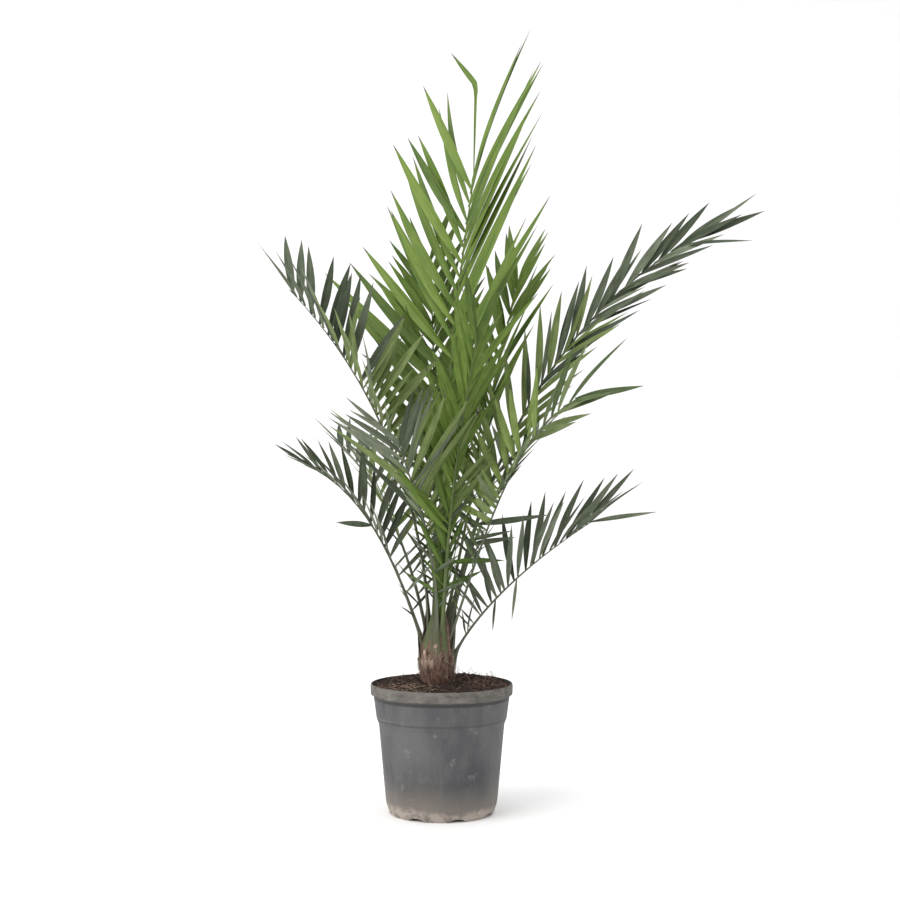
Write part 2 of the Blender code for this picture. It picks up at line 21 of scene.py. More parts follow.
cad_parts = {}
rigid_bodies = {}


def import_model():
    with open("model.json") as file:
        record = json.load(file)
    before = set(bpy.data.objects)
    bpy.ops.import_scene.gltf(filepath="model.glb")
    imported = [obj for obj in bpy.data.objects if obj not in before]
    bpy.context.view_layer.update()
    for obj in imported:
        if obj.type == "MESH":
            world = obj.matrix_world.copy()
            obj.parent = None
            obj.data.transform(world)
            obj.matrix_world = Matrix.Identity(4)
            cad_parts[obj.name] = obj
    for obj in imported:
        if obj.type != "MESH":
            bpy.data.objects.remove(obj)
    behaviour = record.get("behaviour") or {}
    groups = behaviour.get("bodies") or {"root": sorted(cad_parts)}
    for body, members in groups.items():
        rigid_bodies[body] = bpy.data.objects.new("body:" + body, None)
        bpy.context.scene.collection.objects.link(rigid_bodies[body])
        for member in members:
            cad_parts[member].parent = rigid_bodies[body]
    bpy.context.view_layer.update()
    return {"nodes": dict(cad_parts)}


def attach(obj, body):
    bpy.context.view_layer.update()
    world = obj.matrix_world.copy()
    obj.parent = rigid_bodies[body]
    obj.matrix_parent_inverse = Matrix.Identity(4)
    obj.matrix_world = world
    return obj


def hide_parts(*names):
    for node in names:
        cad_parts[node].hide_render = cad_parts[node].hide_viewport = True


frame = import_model()

logging.basicConfig(level=logging.INFO, format="%(name)s: %(message)s")
log = logging.getLogger("palm")

Triple = tuple[float, float, float]
Colour, Pair = Triple, tuple[float, float]
Shape = tuple[list[Vector], list[tuple[int, ...]]]
Dice = random.Random
Object, Material = bpy.types.Object, bpy.types.Material
Mesh = bpy.types.Mesh
Tree, Node, Socket = bpy.types.NodeTree, bpy.types.Node, bpy.types.NodeSocket

UP = Vector((0.0, 0.0, 1.0))
BODY = "root"


# --- small tools ---


def mix(ends: Sequence[float], share: float) -> float:
    """The value this share of the way between two ends."""
    return ends[0] + (ends[1] - ends[0]) * share


def smooth(share: float) -> float:
    """A share eased at both ends, and held between 0 and 1."""
    share = min(max(share, 0.0), 1.0)
    return share * share * (3.0 - 2.0 * share)


def heading_of(degrees: float) -> Vector:
    """The level direction with this heading: 0 is +X and 90 is +Y."""
    return Vector((math.cos(math.radians(degrees)), math.sin(math.radians(degrees)), 0.0))


def arc_through(low: Vector, knee: Vector, high: Vector, share: float) -> Vector:
    """A point of the curve that leaves low for the knee and arrives at high."""
    return low.lerp(knee, share).lerp(knee.lerp(high, share), share)


def mesh_of(name: str, shape: Shape) -> Mesh:
    """A mesh from vertices and faces, with its faces turned outwards.

    Args:
        name: The mesh's name.
        shape: Its vertices and faces.

    Returns:
        The new mesh.
    """
    work = bmesh.new()
    made = [work.verts.new(vertex) for vertex in shape[0]]
    for face in shape[1]:
        work.faces.new([made[index] for index in face])
    bmesh.ops.recalc_face_normals(work, faces=work.faces[:])
    mesh = bpy.data.meshes.new(name)
    work.to_mesh(mesh)
    work.free()
    return mesh


def placed(name: str, mesh: Mesh, finish: Material | None = None) -> Object:
    """An object at the origin that holds the mesh, linked to the scene.

    Args:
        name: The object's name.
        mesh: Its mesh.
        finish: The mesh's only material, or None where the mesh brings its own.

    Returns:
        The new object.
    """
    made = bpy.data.objects.new(name, mesh)
    if finish:
        mesh.materials.append(finish)
    bpy.context.scene.collection.objects.link(made)
    return made


def smoothed(piece: Object, degrees: float) -> None:
    """Shades a piece smoothly but for the edges sharper than this angle."""
    piece.data.shade_smooth()
    piece.data.set_sharp_from_angle(angle=math.radians(degrees))


def turned(profile: Sequence[Pair], segments: int) -> Shape:
    """A closed solid turned about the vertical.

    Args:
        profile: Radius and height of each ring, from the axis round the outside back to the axis.
        segments: How many sides the solid has.

    Returns:
        Vertices and faces.
    """
    vertices: list[Vector] = []
    rings: list[list[int]] = []
    for radius, height in profile:
        count = segments if radius > 0.0 else 1
        rings.append([len(vertices) + index for index in range(count)])
        for index in range(count):
            angle = math.tau * index / segments
            vertices.append(Vector((radius * math.cos(angle), radius * math.sin(angle), height)))
    faces = []
    for low, high in zip(rings, rings[1:]):
        for index in range(segments):
            after = (index + 1) % segments
            corners = [low[index % len(low)], low[after % len(low)]]
            corners += [high[after % len(high)], high[index % len(high)]]
            faces.append(tuple(dict.fromkeys(corners)))
    return vertices, faces


def rounded(corners: Sequence[Triple], steps: int = 4) -> list[Pair]:
    """A profile with its corners rounded.

    Args:
        corners: Radius, height and fillet radius of each corner.
        steps: How many short straight pieces stand for each fillet.

    Returns:
        Radius and height of each point of the rounded profile.
    """
    points = []
    for index, (radius, height, fillet) in enumerate(corners):
        here = Vector((radius, height))
        if fillet <= 0.0 or index in (0, len(corners) - 1):
            points.append((radius, height))
            continue
        before = Vector(corners[index - 1][:2]) - here
        after = Vector(corners[index + 1][:2]) - here
        reach = min(fillet, before.length * 0.45, after.length * 0.45)
        ends = here + before.normalized() * reach, here + after.normalized() * reach
        for step in range(steps + 1):
            point = arc_through(ends[0], here, ends[1], step / steps)
            points.append((point.x, point.y))
    return points


class Wiring:
    """Adds nodes to a tree and links them, so that a tree reads as a list of steps."""

    def __init__(self, tree: Tree) -> None:
        """Starts on a tree."""
        self.tree = tree

    def add(self, kind: str, inputs: dict | None = None, **settings: object) -> Node:
        """Adds one node.

        Args:
            kind: The node's type.
            inputs: Input name or index to the socket that feeds it, or to its plain value.
            settings: Properties of the node, set before its sockets are used.

        Returns:
            The new node.
        """
        node = self.tree.nodes.new(kind)
        for name, value in settings.items():
            setattr(node, name, value)
        for key, value in (inputs or {}).items():
            if isinstance(value, Socket):
                self.tree.links.new(value, node.inputs[key])
            else:
                node.inputs[key].default_value = value
        return node

    def math(self, operation: str, *values: object, clamp: bool = False) -> Socket:
        """The result of a Math node on these values or sockets."""
        inputs = dict(enumerate(values))
        return self.add("ShaderNodeMath", inputs, operation=operation, use_clamp=clamp).outputs[0]

    def times(self, first: object, second: object) -> Socket:
        """The product of two values or sockets."""
        return self.math("MULTIPLY", first, second)

    def vector(self, operation: str, *values: object) -> Socket:
        """The result of a Vector Math node on these values or sockets."""
        inputs = {0: values[0], "Scale": values[1]} if operation == "SCALE" else dict(enumerate(values))
        outputs = self.add("ShaderNodeVectorMath", inputs, operation=operation).outputs
        return outputs["Value" if operation == "LENGTH" else "Vector"]

    def blend(self, factor: object, first: object, second: object) -> Socket:
        """The colour between two colours."""
        return self.add("ShaderNodeMix", {0: factor, 6: first, 7: second}, data_type="RGBA").outputs[2]

    def ranged(
        self, value: object, low: object, high: object, start: object = 0.0, end: object = 1.0
    ) -> Socket:
        """A value carried from one range to another, eased and held at the ends."""
        inputs = {0: value, 1: low, 2: high, 3: start, 4: end}
        return self.add("ShaderNodeMapRange", inputs, interpolation_type="SMOOTHSTEP").outputs[0]

    def combined(self, x: object, y: object, z: object) -> Socket:
        """A vector from three values or sockets."""
        return self.add("ShaderNodeCombineXYZ", {0: x, 1: y, 2: z}).outputs[0]

    def place(self) -> Socket:
        """The shaded point's own place on the object."""
        return self.add("ShaderNodeTexCoord").outputs["Object"]

    def carried(self, name: str) -> Socket:
        """The value of an attribute of the shaded mesh."""
        return self.add("ShaderNodeAttribute", attribute_name=name).outputs["Fac"]

    def height_of(self, place: Socket) -> Socket:
        """The height of a place."""
        return self.add("ShaderNodeSeparateXYZ", {0: place}).outputs["Z"]

    def pattern(self, place: Socket, scale: object, detail: float) -> Socket:
        """An even noise from 0 to 1."""
        return self.add("ShaderNodeTexNoise", {"Vector": place, "Scale": scale, "Detail": detail}).outputs[0]


SOCKET_TYPES = {float: "NodeSocketFloat", int: "NodeSocketInt", tuple: "NodeSocketVector"}


class Group(Wiring):
    """A node group under construction: its inputs' sockets are in given."""

    def __init__(
        self, kind: str, name: str, inputs: dict[str, object], outputs: Iterable[str],
        gives: str = "NodeSocketFloat",
    ) -> None:
        """Starts a group with named sockets.

        Args:
            kind: The tree's type.
            name: The tree's name.
            inputs: Each input's name to its default, or to its socket type where it has no default.
            outputs: The outputs' names.
            gives: The outputs' socket type.
        """
        super().__init__(bpy.data.node_groups.new(name, kind))
        for label, default in inputs.items():
            bare = isinstance(default, str)
            socket_type = default if bare else SOCKET_TYPES[type(default)]
            made = self.tree.interface.new_socket(label, in_out="INPUT", socket_type=socket_type)
            if not bare:
                made.default_value = default
        for label in outputs:
            self.tree.interface.new_socket(label, in_out="OUTPUT", socket_type=gives)
        self.given = self.add("NodeGroupInput").outputs
        self.results = self.add("NodeGroupOutput").inputs

    def give(self, **results: Socket) -> Tree:
        """Feeds the outputs, named with underscores for spaces, and gives the finished tree."""
        for name, socket in results.items():
            self.tree.links.new(socket, self.results[name.replace("_", " ")])
        return self.tree


# --- shader groups shared by the finishes ---


class Effect(Enum):
    """Surface effects that more than one finish uses, each a node group that is built once."""

    BLOTCHES = "blotches"
    HEIGHT_BAND = "height_band"
    VEINS = "veins"
    GRAIN = "grain"

    def tree(self) -> Tree:
        """The effect's node group, built on first use."""
        return bpy.data.node_groups.get(self.value) or getattr(self, "_" + self.value)()

    def _blotches(self) -> Tree:
        """Uneven patches with a soft or hard edge, as of dust, stains and scuffs.

        Returns:
            The group's tree.
        """
        group = Group("ShaderNodeTree", self.value, {
            "Scale": 30.0, "Stretch": (1.0, 1.0, 1.0), "Shift": 0.0, "Cover": 0.5, "Edge": 0.1,
        }, ["Mask"])
        given = group.given
        pattern = group.add("ShaderNodeTexNoise", {
            "Vector": group.vector("MULTIPLY", group.place(), given["Stretch"]), "W": given["Shift"],
            "Scale": given["Scale"], "Detail": 6.0, "Roughness": 0.62,
        }, noise_dimensions="4D").outputs[0]
        middle = group.math("SUBTRACT", 1.0, given["Cover"])
        low = group.math("SUBTRACT", middle, given["Edge"])
        return group.give(Mask=group.ranged(pattern, low, group.math("ADD", middle, given["Edge"])))

    def _height_band(self) -> Tree:
        """A mask that is one below a wavering height and fades out above it.

        Returns:
            The group's tree.
        """
        group = Group("ShaderNodeTree", self.value, {
            "Full Below": 0.02, "None Above": 0.05, "Waver": 0.01, "Scale": 18.0,
        }, ["Mask"])
        given, place = group.given, group.place()
        pattern = group.pattern(place, given["Scale"], 5.0)
        swing = group.times(group.math("SUBTRACT", pattern, 0.5), given["Waver"])
        height = group.math("ADD", group.height_of(place), swing)
        return group.give(Mask=group.ranged(height, given["Full Below"], given["None Above"], 1.0, 0.0))

    def _veins(self) -> Tree:
        """Fine lines that run along a leaf, and the stripe of its midrib, from its own attributes.

        Returns:
            The group's tree.
        """
        outputs = ["Lines Mask", "Midrib Mask", "Mottle"]
        group = Group("ShaderNodeTree", self.value, {"Lines": 26.0, "Midrib Width": 0.10}, outputs)
        across, along, number = (group.carried(name) for name in ("across", "along", "number"))
        side = group.times(across, group.given["Lines"])
        lines = group.pattern(group.combined(side, group.times(along, 2.5), number), 1.0, 2.0)
        wide = group.times(across, 0.8)
        mottle = group.pattern(group.combined(wide, group.times(along, 5.0), number), 1.0, 3.0)
        away = group.math("ABSOLUTE", across)
        return group.give(
            Lines_Mask=group.ranged(lines, 0.32, 0.68), Mottle=group.ranged(mottle, 0.3, 0.7),
            Midrib_Mask=group.ranged(away, 0.0, group.given["Midrib Width"], 1.0, 0.0),
        )

    def _grain(self) -> Tree:
        """A fine even grain and a soft waviness, as heights for a bump.

        Returns:
            The group's tree.
        """
        inputs = {"Fine Scale": 900.0, "Coarse Scale": 40.0, "Coarse Share": 0.5}
        group = Group("ShaderNodeTree", self.value, inputs, ["Height"])
        place = group.place()
        fine = group.pattern(place, group.given["Fine Scale"], 2.0)
        coarse = group.pattern(place, group.given["Coarse Scale"], 4.0)
        swell = group.times(coarse, group.given["Coarse Share"])
        return group.give(Height=group.math("ADD", fine, swell))


def rgba(colour: Colour) -> tuple[float, float, float, float]:
    """A colour with full alpha."""
    return (*colour, 1.0)


class Surface(Wiring):
    """A material under construction: its Principled shader and the effects that feed it."""

    def __init__(self, name: str, roughness: float, specular: float = 0.5) -> None:
        """Starts a material with constant roughness and specular level.

        Args:
            name: Its name.
            roughness: Its roughness.
            specular: Its specular level.
        """
        self.material = bpy.data.materials.new(name)
        self.material.use_nodes = True
        super().__init__(self.material.node_tree)
        self.shader = self.tree.nodes["Principled BSDF"]
        self.shader.inputs["Roughness"].default_value = roughness
        self.shader.inputs["Specular IOR Level"].default_value = specular

    def effect(self, effect: Effect, **inputs: object) -> dict[str, Socket]:
        """Places a shared effect.

        Args:
            effect: The effect.
            inputs: Its own values, named with underscores for spaces.

        Returns:
            The effect's outputs by name.
        """
        node = self.add("ShaderNodeGroup", node_tree=effect.tree())
        for name, value in inputs.items():
            node.inputs[name.replace("_", " ")].default_value = value
        return {socket.name: socket for socket in node.outputs}

    def patches(
        self, scale: float, cover: float, edge: float, shift: float = 0.0, upright: float = 1.0
    ) -> Socket:
        """The mask of uneven patches; upright below 1 draws them out, and above 1 it flattens them."""
        values = {"Scale": scale, "Cover": cover, "Edge": edge, "Shift": shift}
        return self.effect(Effect.BLOTCHES, Stretch=(1.0, 1.0, upright), **values)["Mask"]

    def below(self, full: float, none: float, waver: float, scale: float = 18.0) -> Socket:
        """The mask of what lies below a height, full and then none, with a wavering edge."""
        values = {"Full_Below": full, "None_Above": none, "Waver": waver, "Scale": scale}
        return self.effect(Effect.HEIGHT_BAND, **values)["Mask"]

    def over(self, colour: Socket, mask: Socket, share: float, shade: Colour) -> Socket:
        """The colour with a shade laid over it by this share of a mask."""
        return self.blend(self.times(mask, share), colour, rgba(shade))

    def marked(self, colour: Socket, where: Socket, marks: Iterable[tuple[Socket, float, Colour]]) -> Socket:
        """The colour with marks, each with its own mask, share and shade, laid over it inside a mask."""
        for mask, share, shade in marks:
            colour = self.over(colour, self.times(where, mask), share, shade)
        return colour

    def feed(self, name: str, socket: Socket) -> None:
        """Feeds an input of the shader."""
        self.tree.links.new(socket, self.shader.inputs[name])

    def bump(self, height: Socket, distance: float) -> None:
        """Feeds the normal from a height, in metres once it is multiplied by distance."""
        node = self.add("ShaderNodeBump", {"Height": height, "Distance": distance, "Strength": 1.0})
        self.feed("Normal", node.outputs["Normal"])


# --- finishes ---


@dataclass(frozen=True)
class LeafFinish:
    """A leaf's skin: two close greens in fine lines along the blade, and a paler midrib."""

    name: str
    dark: Colour
    light: Colour
    midrib: Colour
    roughness: float = 0.48
    midrib_share: float = 0.55
    bump: float = 0.00012

    def material(self) -> Material:
        """Builds the material.

        Returns:
            The material.
        """
        made = Surface(self.name, self.roughness, specular=0.25)
        veins = made.effect(Effect.VEINS)
        green = made.blend(veins["Mottle"], rgba(self.dark), rgba(self.light))
        green = made.over(green, veins["Lines Mask"], 0.35, self.light)
        made.feed("Base Color", made.over(green, veins["Midrib Mask"], self.midrib_share, self.midrib))
        shine = made.ranged(veins["Mottle"], 0.0, 1.0, self.roughness - 0.05, self.roughness + 0.08)
        made.feed("Roughness", shine)
        made.bump(veins["Lines Mask"], self.bump)
        return made.material


@dataclass(frozen=True)
class RibFinish:
    """A frond's rib: green, paler towards its sheath, with lines along it and scurfy flecks."""

    name: str
    green: Colour
    pale: Colour
    sheath: Colour
    foot_to: float = 0.14
    roughness: float = 0.50

    def material(self) -> Material:
        """Builds the material.

        Returns:
            The material.
        """
        made = Surface(self.name, self.roughness, specular=0.4)
        lines = made.effect(Effect.VEINS, Lines=9.0)["Lines Mask"]
        colour = made.blend(lines, rgba(self.green), rgba(self.pale))
        foot = made.ranged(made.carried("along"), 0.015, self.foot_to, 1.0, 0.0)
        colour = made.blend(foot, colour, rgba(self.sheath))
        made.feed("Base Color", made.over(colour, made.patches(420.0, 0.36, 0.05), 0.35, self.sheath))
        made.bump(lines, 0.0003)
        return made.material


@dataclass(frozen=True)
class FibreFinish:
    """Dry plant matter, such as fibre, straw, bark and cut leaf bases, with fine streaks."""

    name: str
    dark: Colour
    light: Colour
    scale: float = 240.0
    upright: float = 0.22
    roughness: float = 0.88
    bump: float = 0.0004

    def material(self) -> Material:
        """Builds the material.

        Returns:
            The material.
        """
        made = Surface(self.name, self.roughness, specular=0.2)
        streaks = made.patches(self.scale, 0.5, 0.16, upright=self.upright)
        made.feed("Base Color", made.blend(streaks, rgba(self.dark), rgba(self.light)))
        made.bump(streaks, self.bump)
        return made.material


@dataclass(frozen=True)
class SoilFinish:
    """Dark crumbly potting soil with lighter dry grains."""

    name: str = "potting_soil"
    dark: Colour = (0.020, 0.013, 0.011)
    brown: Colour = (0.062, 0.041, 0.033)
    dry: Colour = (0.135, 0.098, 0.078)

    def material(self) -> Material:
        """Builds the material.

        Returns:
            The material.
        """
        made = Surface(self.name, 0.95, specular=0.15)
        colour = made.blend(made.patches(85.0, 0.52, 0.14), rgba(self.dark), rgba(self.brown))
        grains = made.patches(420.0, 0.40, 0.06, 3.0)
        made.feed("Base Color", made.over(colour, grains, 0.6, self.dry))
        made.bump(grains, 0.0012)
        return made.material


@dataclass(frozen=True)
class PotFinish:
    """Weathered slate-grey moulded plastic: dusty rim, scuffed wall, dried dirt round the foot, and painted
    shadow and highlight lines.
    """

    name: str = "weathered_pot_plastic"
    slate: Colour = (0.054, 0.055, 0.061)
    worn: Colour = (0.104, 0.105, 0.105)
    # This colour is real chalky scuffs on the wall, and also the painted highlight along the step's edge
    chalk_and_highlight: Colour = (0.185, 0.187, 0.180)
    dust: Colour = (0.118, 0.107, 0.095)
    pale_dust: Colour = (0.200, 0.184, 0.166)
    # This colour is real grime in the foot's flecks and the rim's stains, and also painted shadow under the rim
    # and under the step
    grime_and_shade: Colour = (0.034, 0.032, 0.028)
    dirt: Colour = (0.235, 0.200, 0.168)
    pale_dirt: Colour = (0.400, 0.345, 0.300)
    rim_from: float = 0.1970
    step_at: float = 0.1608
    inner_radius: float = 0.1170
    roughness: float = 0.62

    def material(self) -> Material:
        """Builds the material.

        Returns:
            The material.
        """
        made = Surface(self.name, self.roughness, specular=0.35)
        step, rim_foot = self.step_at, self.rim_from
        scuffs = made.patches(11.0, 0.48, 0.13, 1.3, 0.6)
        colour = made.blend(scuffs, rgba(self.slate), rgba(self.worn))
        colour = made.over(colour, made.patches(70.0, 0.44, 0.10, 4.0, 0.35), 0.35, self.worn)
        colour = made.over(colour, made.patches(46.0, 0.36, 0.035, 7.7), 0.55, self.chalk_and_highlight)
        colour = self._foot_dirt(made, colour)
        # Painted highlight: a patchy light line along the step's edge, where it would catch the light
        step_highlight = self._belt(made, step + 0.0004, step + 0.0034, 15.0, 0.42)
        colour = made.over(colour, step_highlight, 0.38, self.chalk_and_highlight)
        # Painted shadow: a dark line under the step's overhang
        step_shadow = self._belt(made, step - 0.0034, step + 0.0002, 9.0, 0.74)
        colour = made.over(colour, step_shadow, 0.42, self.grime_and_shade)
        rim = made.math("SUBTRACT", 1.0, made.below(rim_foot, rim_foot + 0.003, 0.002))
        colour = self._rim_dust(made, colour, rim)
        # Painted shadow: a dark line under the rim
        shade = self._belt(made, rim_foot - 0.0052, rim_foot + 0.0004, 14.0, 0.86)
        colour = made.over(colour, shade, 0.88, self.grime_and_shade)
        made.feed("Base Color", self._inner_darkening(made, colour))
        made.feed("Roughness", made.ranged(rim, 0.0, 1.0, self.roughness, 0.85))
        grain = made.effect(Effect.GRAIN, Fine_Scale=700.0, Coarse_Scale=24.0, Coarse_Share=2.2)
        made.bump(grain["Height"], 0.00045)
        return made.material

    def _belt(self, made: Surface, low: float, high: float, scale: float, cover: float) -> Socket:
        """A patchy mask between two heights, for a painted highlight along an edge or a painted shadow line."""
        masks = (made.below(height - 0.0012, height, 0.0008) for height in (high, low))
        belt = made.math("SUBTRACT", *masks, clamp=True)
        return made.times(belt, made.patches(scale, cover, 0.10, 12.0))

    def _inner_darkening(self, made: Surface, colour: Socket) -> Socket:
        """Darkens the inside of the rim.

        Args:
            made: The material under construction.
            colour: The colour so far.

        Returns:
            The colour with it.
        """
        place = made.place()
        radius = made.vector("LENGTH", made.vector("MULTIPLY", place, (1.0, 1.0, 0.0)))
        inside = made.ranged(radius, self.inner_radius, self.inner_radius + 0.001, 1.0, 0.0)
        high = made.math("GREATER_THAN", made.height_of(place), self.rim_from + 0.006)
        return made.blend(made.times(inside, high), colour, rgba(self.grime_and_shade))

    def _foot_dirt(self, made: Surface, colour: Socket) -> Socket:
        """Lays dried dirt over the foot, with darker flecks in it.

        Args:
            made: The material.
            colour: The colour below.

        Returns:
            The new colour.
        """
        colour = made.over(colour, made.below(0.012, 0.080, 0.055, 13.0), 0.60, self.dirt)
        return made.marked(colour, made.below(0.010, 0.024, 0.034, 30.0), (
            (made.patches(60.0, 0.55, 0.10, 2.0), 0.85, self.pale_dirt),
            (made.patches(150.0, 0.36, 0.03, 9.0, 1.8), 0.8, self.grime_and_shade),
        ))

    def _rim_dust(self, made: Surface, colour: Socket, rim: Socket) -> Socket:
        """Lays dust and stains over the rim, which is given by its mask.

        Args:
            made: The material.
            colour: The colour below.
            rim: The rim's mask.

        Returns:
            The new colour.
        """
        return made.marked(colour, rim, (
            (made.ranged(made.patches(30.0, 0.62, 0.22, 5.0), 0.0, 1.0, 0.40, 0.92), 1.0, self.dust),
            (made.patches(44.0, 0.46, 0.12, 15.0, 2.2), 0.65, self.pale_dust),
            (made.patches(78.0, 0.44, 0.10, 6.0, 1.5), 0.42, self.grime_and_shade),
        ))


# The fourth green of each row is for leaflets near the heart
YOUNG_LEAVES = (
    LeafFinish("young_leaf_bright", (0.092, 0.158, 0.018), (0.152, 0.222, 0.040), (0.265, 0.315, 0.100)),
    LeafFinish("young_leaf_mid", (0.068, 0.128, 0.013), (0.124, 0.192, 0.032), (0.218, 0.268, 0.084)),
    LeafFinish("young_leaf_deep", (0.042, 0.084, 0.009), (0.084, 0.138, 0.022), (0.158, 0.206, 0.061)),
    LeafFinish("young_leaf_heart", (0.066, 0.122, 0.014), (0.126, 0.192, 0.032), (0.212, 0.266, 0.078)),
)
MIDDLE_LEAVES = (
    LeafFinish("middle_leaf_pale", (0.088, 0.128, 0.042), (0.152, 0.192, 0.084), (0.214, 0.250, 0.128), 0.54),
    LeafFinish("middle_leaf_mid", (0.056, 0.088, 0.028), (0.104, 0.138, 0.060), (0.170, 0.200, 0.102), 0.54),
    LeafFinish("middle_leaf_deep", (0.038, 0.062, 0.018), (0.072, 0.104, 0.037), (0.130, 0.162, 0.077), 0.54),
    LeafFinish("middle_leaf_heart", (0.11, 0.168, 0.032), (0.200, 0.266, 0.076), (0.285, 0.336, 0.134), 0.54),
)
OLD_LEAVES = (
    LeafFinish("old_leaf_pale", (0.088, 0.111, 0.066), (0.168, 0.194, 0.133), (0.240, 0.262, 0.190), 0.56),
    LeafFinish("old_leaf_mid", (0.054, 0.072, 0.041), (0.104, 0.124, 0.080), (0.178, 0.198, 0.136), 0.56),
    LeafFinish("old_leaf_deep", (0.029, 0.041, 0.022), (0.058, 0.074, 0.044), (0.115, 0.133, 0.089), 0.56),
    LeafFinish("old_leaf_heart", (0.094, 0.138, 0.034), (0.176, 0.228, 0.077), (0.260, 0.302, 0.134), 0.54),
)
DRY_TIP = LeafFinish("dry_leaf_tip", (0.052, 0.046, 0.040), *[(0.100, 0.088, 0.076)] * 2, 0.75)
YOUNG_RIB = RibFinish("young_rib", (0.070, 0.105, 0.028), (0.130, 0.170, 0.055), (0.082, 0.092, 0.042))
OLD_RIB = RibFinish("old_rib", (0.068, 0.083, 0.048), (0.125, 0.140, 0.088), (0.088, 0.086, 0.055))
SHEATH_FOOT_TO = 0.42
YOUNG_SHEATH = RibFinish(
    "young_sheath", (0.044, 0.062, 0.016), (0.088, 0.106, 0.036), (0.165, 0.112, 0.076), SHEATH_FOOT_TO
)
OLD_SHEATH = RibFinish(
    "old_sheath", (0.050, 0.056, 0.026), (0.095, 0.098, 0.052), (0.175, 0.120, 0.085), SHEATH_FOOT_TO
)
TAN_FIBRE = FibreFinish("tan_fibre", (0.170, 0.110, 0.082), (0.430, 0.315, 0.255))
RED_FIBRE = FibreFinish("red_fibre", (0.080, 0.042, 0.030), (0.235, 0.135, 0.100))
DARK_FIBRE = FibreFinish("dark_fibre", (0.030, 0.019, 0.013), (0.085, 0.055, 0.038))
STUB_SKIN = FibreFinish("cut_leaf_base", (0.090, 0.064, 0.050), (0.300, 0.210, 0.165), 120.0)
STRAW = FibreFinish("dry_straw", (0.130, 0.088, 0.062), (0.340, 0.250, 0.185), 300.0)
BARK = FibreFinish("bark_chip", (0.070, 0.034, 0.026), (0.165, 0.088, 0.070), 300.0, 1.0)


# --- geometry trees ---


def evaluated(piece: Object) -> None:
    """Makes the result of a piece's modifiers its plain mesh, and removes the modifiers.

    Args:
        piece: The piece, changed in place.
    """
    graph = bpy.context.evaluated_depsgraph_get()
    mesh = bpy.data.meshes.new_from_object(piece.evaluated_get(graph))
    old = piece.data
    piece.modifiers.clear()
    piece.data = mesh
    if old.users == 0:
        bpy.data.meshes.remove(old)


def dressed(name: str, mesh: Mesh, tree: Tree, inputs: dict[str, object]) -> Object:
    """Runs a geometry tree on a mesh and keeps the result as a plain mesh that faces outwards.

    Args:
        name: The piece's name.
        mesh: The mesh that the tree starts from.
        tree: The geometry tree.
        inputs: Input name to its value.

    Returns:
        The finished piece.
    """
    piece = placed(name, mesh)
    modifier = piece.modifiers.new("Grow", "NODES")
    modifier.node_group = tree
    for socket in tree.interface.items_tree:
        if socket.item_type == "SOCKET" and socket.in_out == "INPUT" and socket.name in inputs:
            modifier[socket.identifier] = inputs[socket.name]
    evaluated(piece)
    piece.data.name = name
    work = bmesh.new()
    work.from_mesh(piece.data)
    if work.calc_volume(signed=True) < 0.0:
        bmesh.ops.reverse_faces(work, faces=work.faces[:])
        work.to_mesh(piece.data)
    work.free()
    return piece


def attribute_of(group: Group, name: str, data_type: str = "FLOAT") -> Socket:
    """The socket that reads a named attribute in a geometry tree."""
    node = group.add("GeometryNodeInputNamedAttribute", {"Name": name}, data_type=data_type)
    return node.outputs["Attribute"]


def captured(group: Group, geometry: Socket, name: str) -> Node:
    """Keeps each point's place under a name, while the geometry is swept.

    Args:
        group: The tree under construction.
        geometry: The geometry.
        name: The name of the kept place.

    Returns:
        The node that gives the geometry and the kept place.
    """
    node = group.add("GeometryNodeCaptureAttribute")
    node.capture_items.new("VECTOR", name)
    group.tree.links.new(geometry, node.inputs["Geometry"])
    group.tree.links.new(group.add("GeometryNodeInputPosition").outputs[0], node.inputs[name])
    return node


TINTS = ("First Tint", "Second Tint", "Third Tint", "Fourth Tint")
DRY = "Dry Tint"


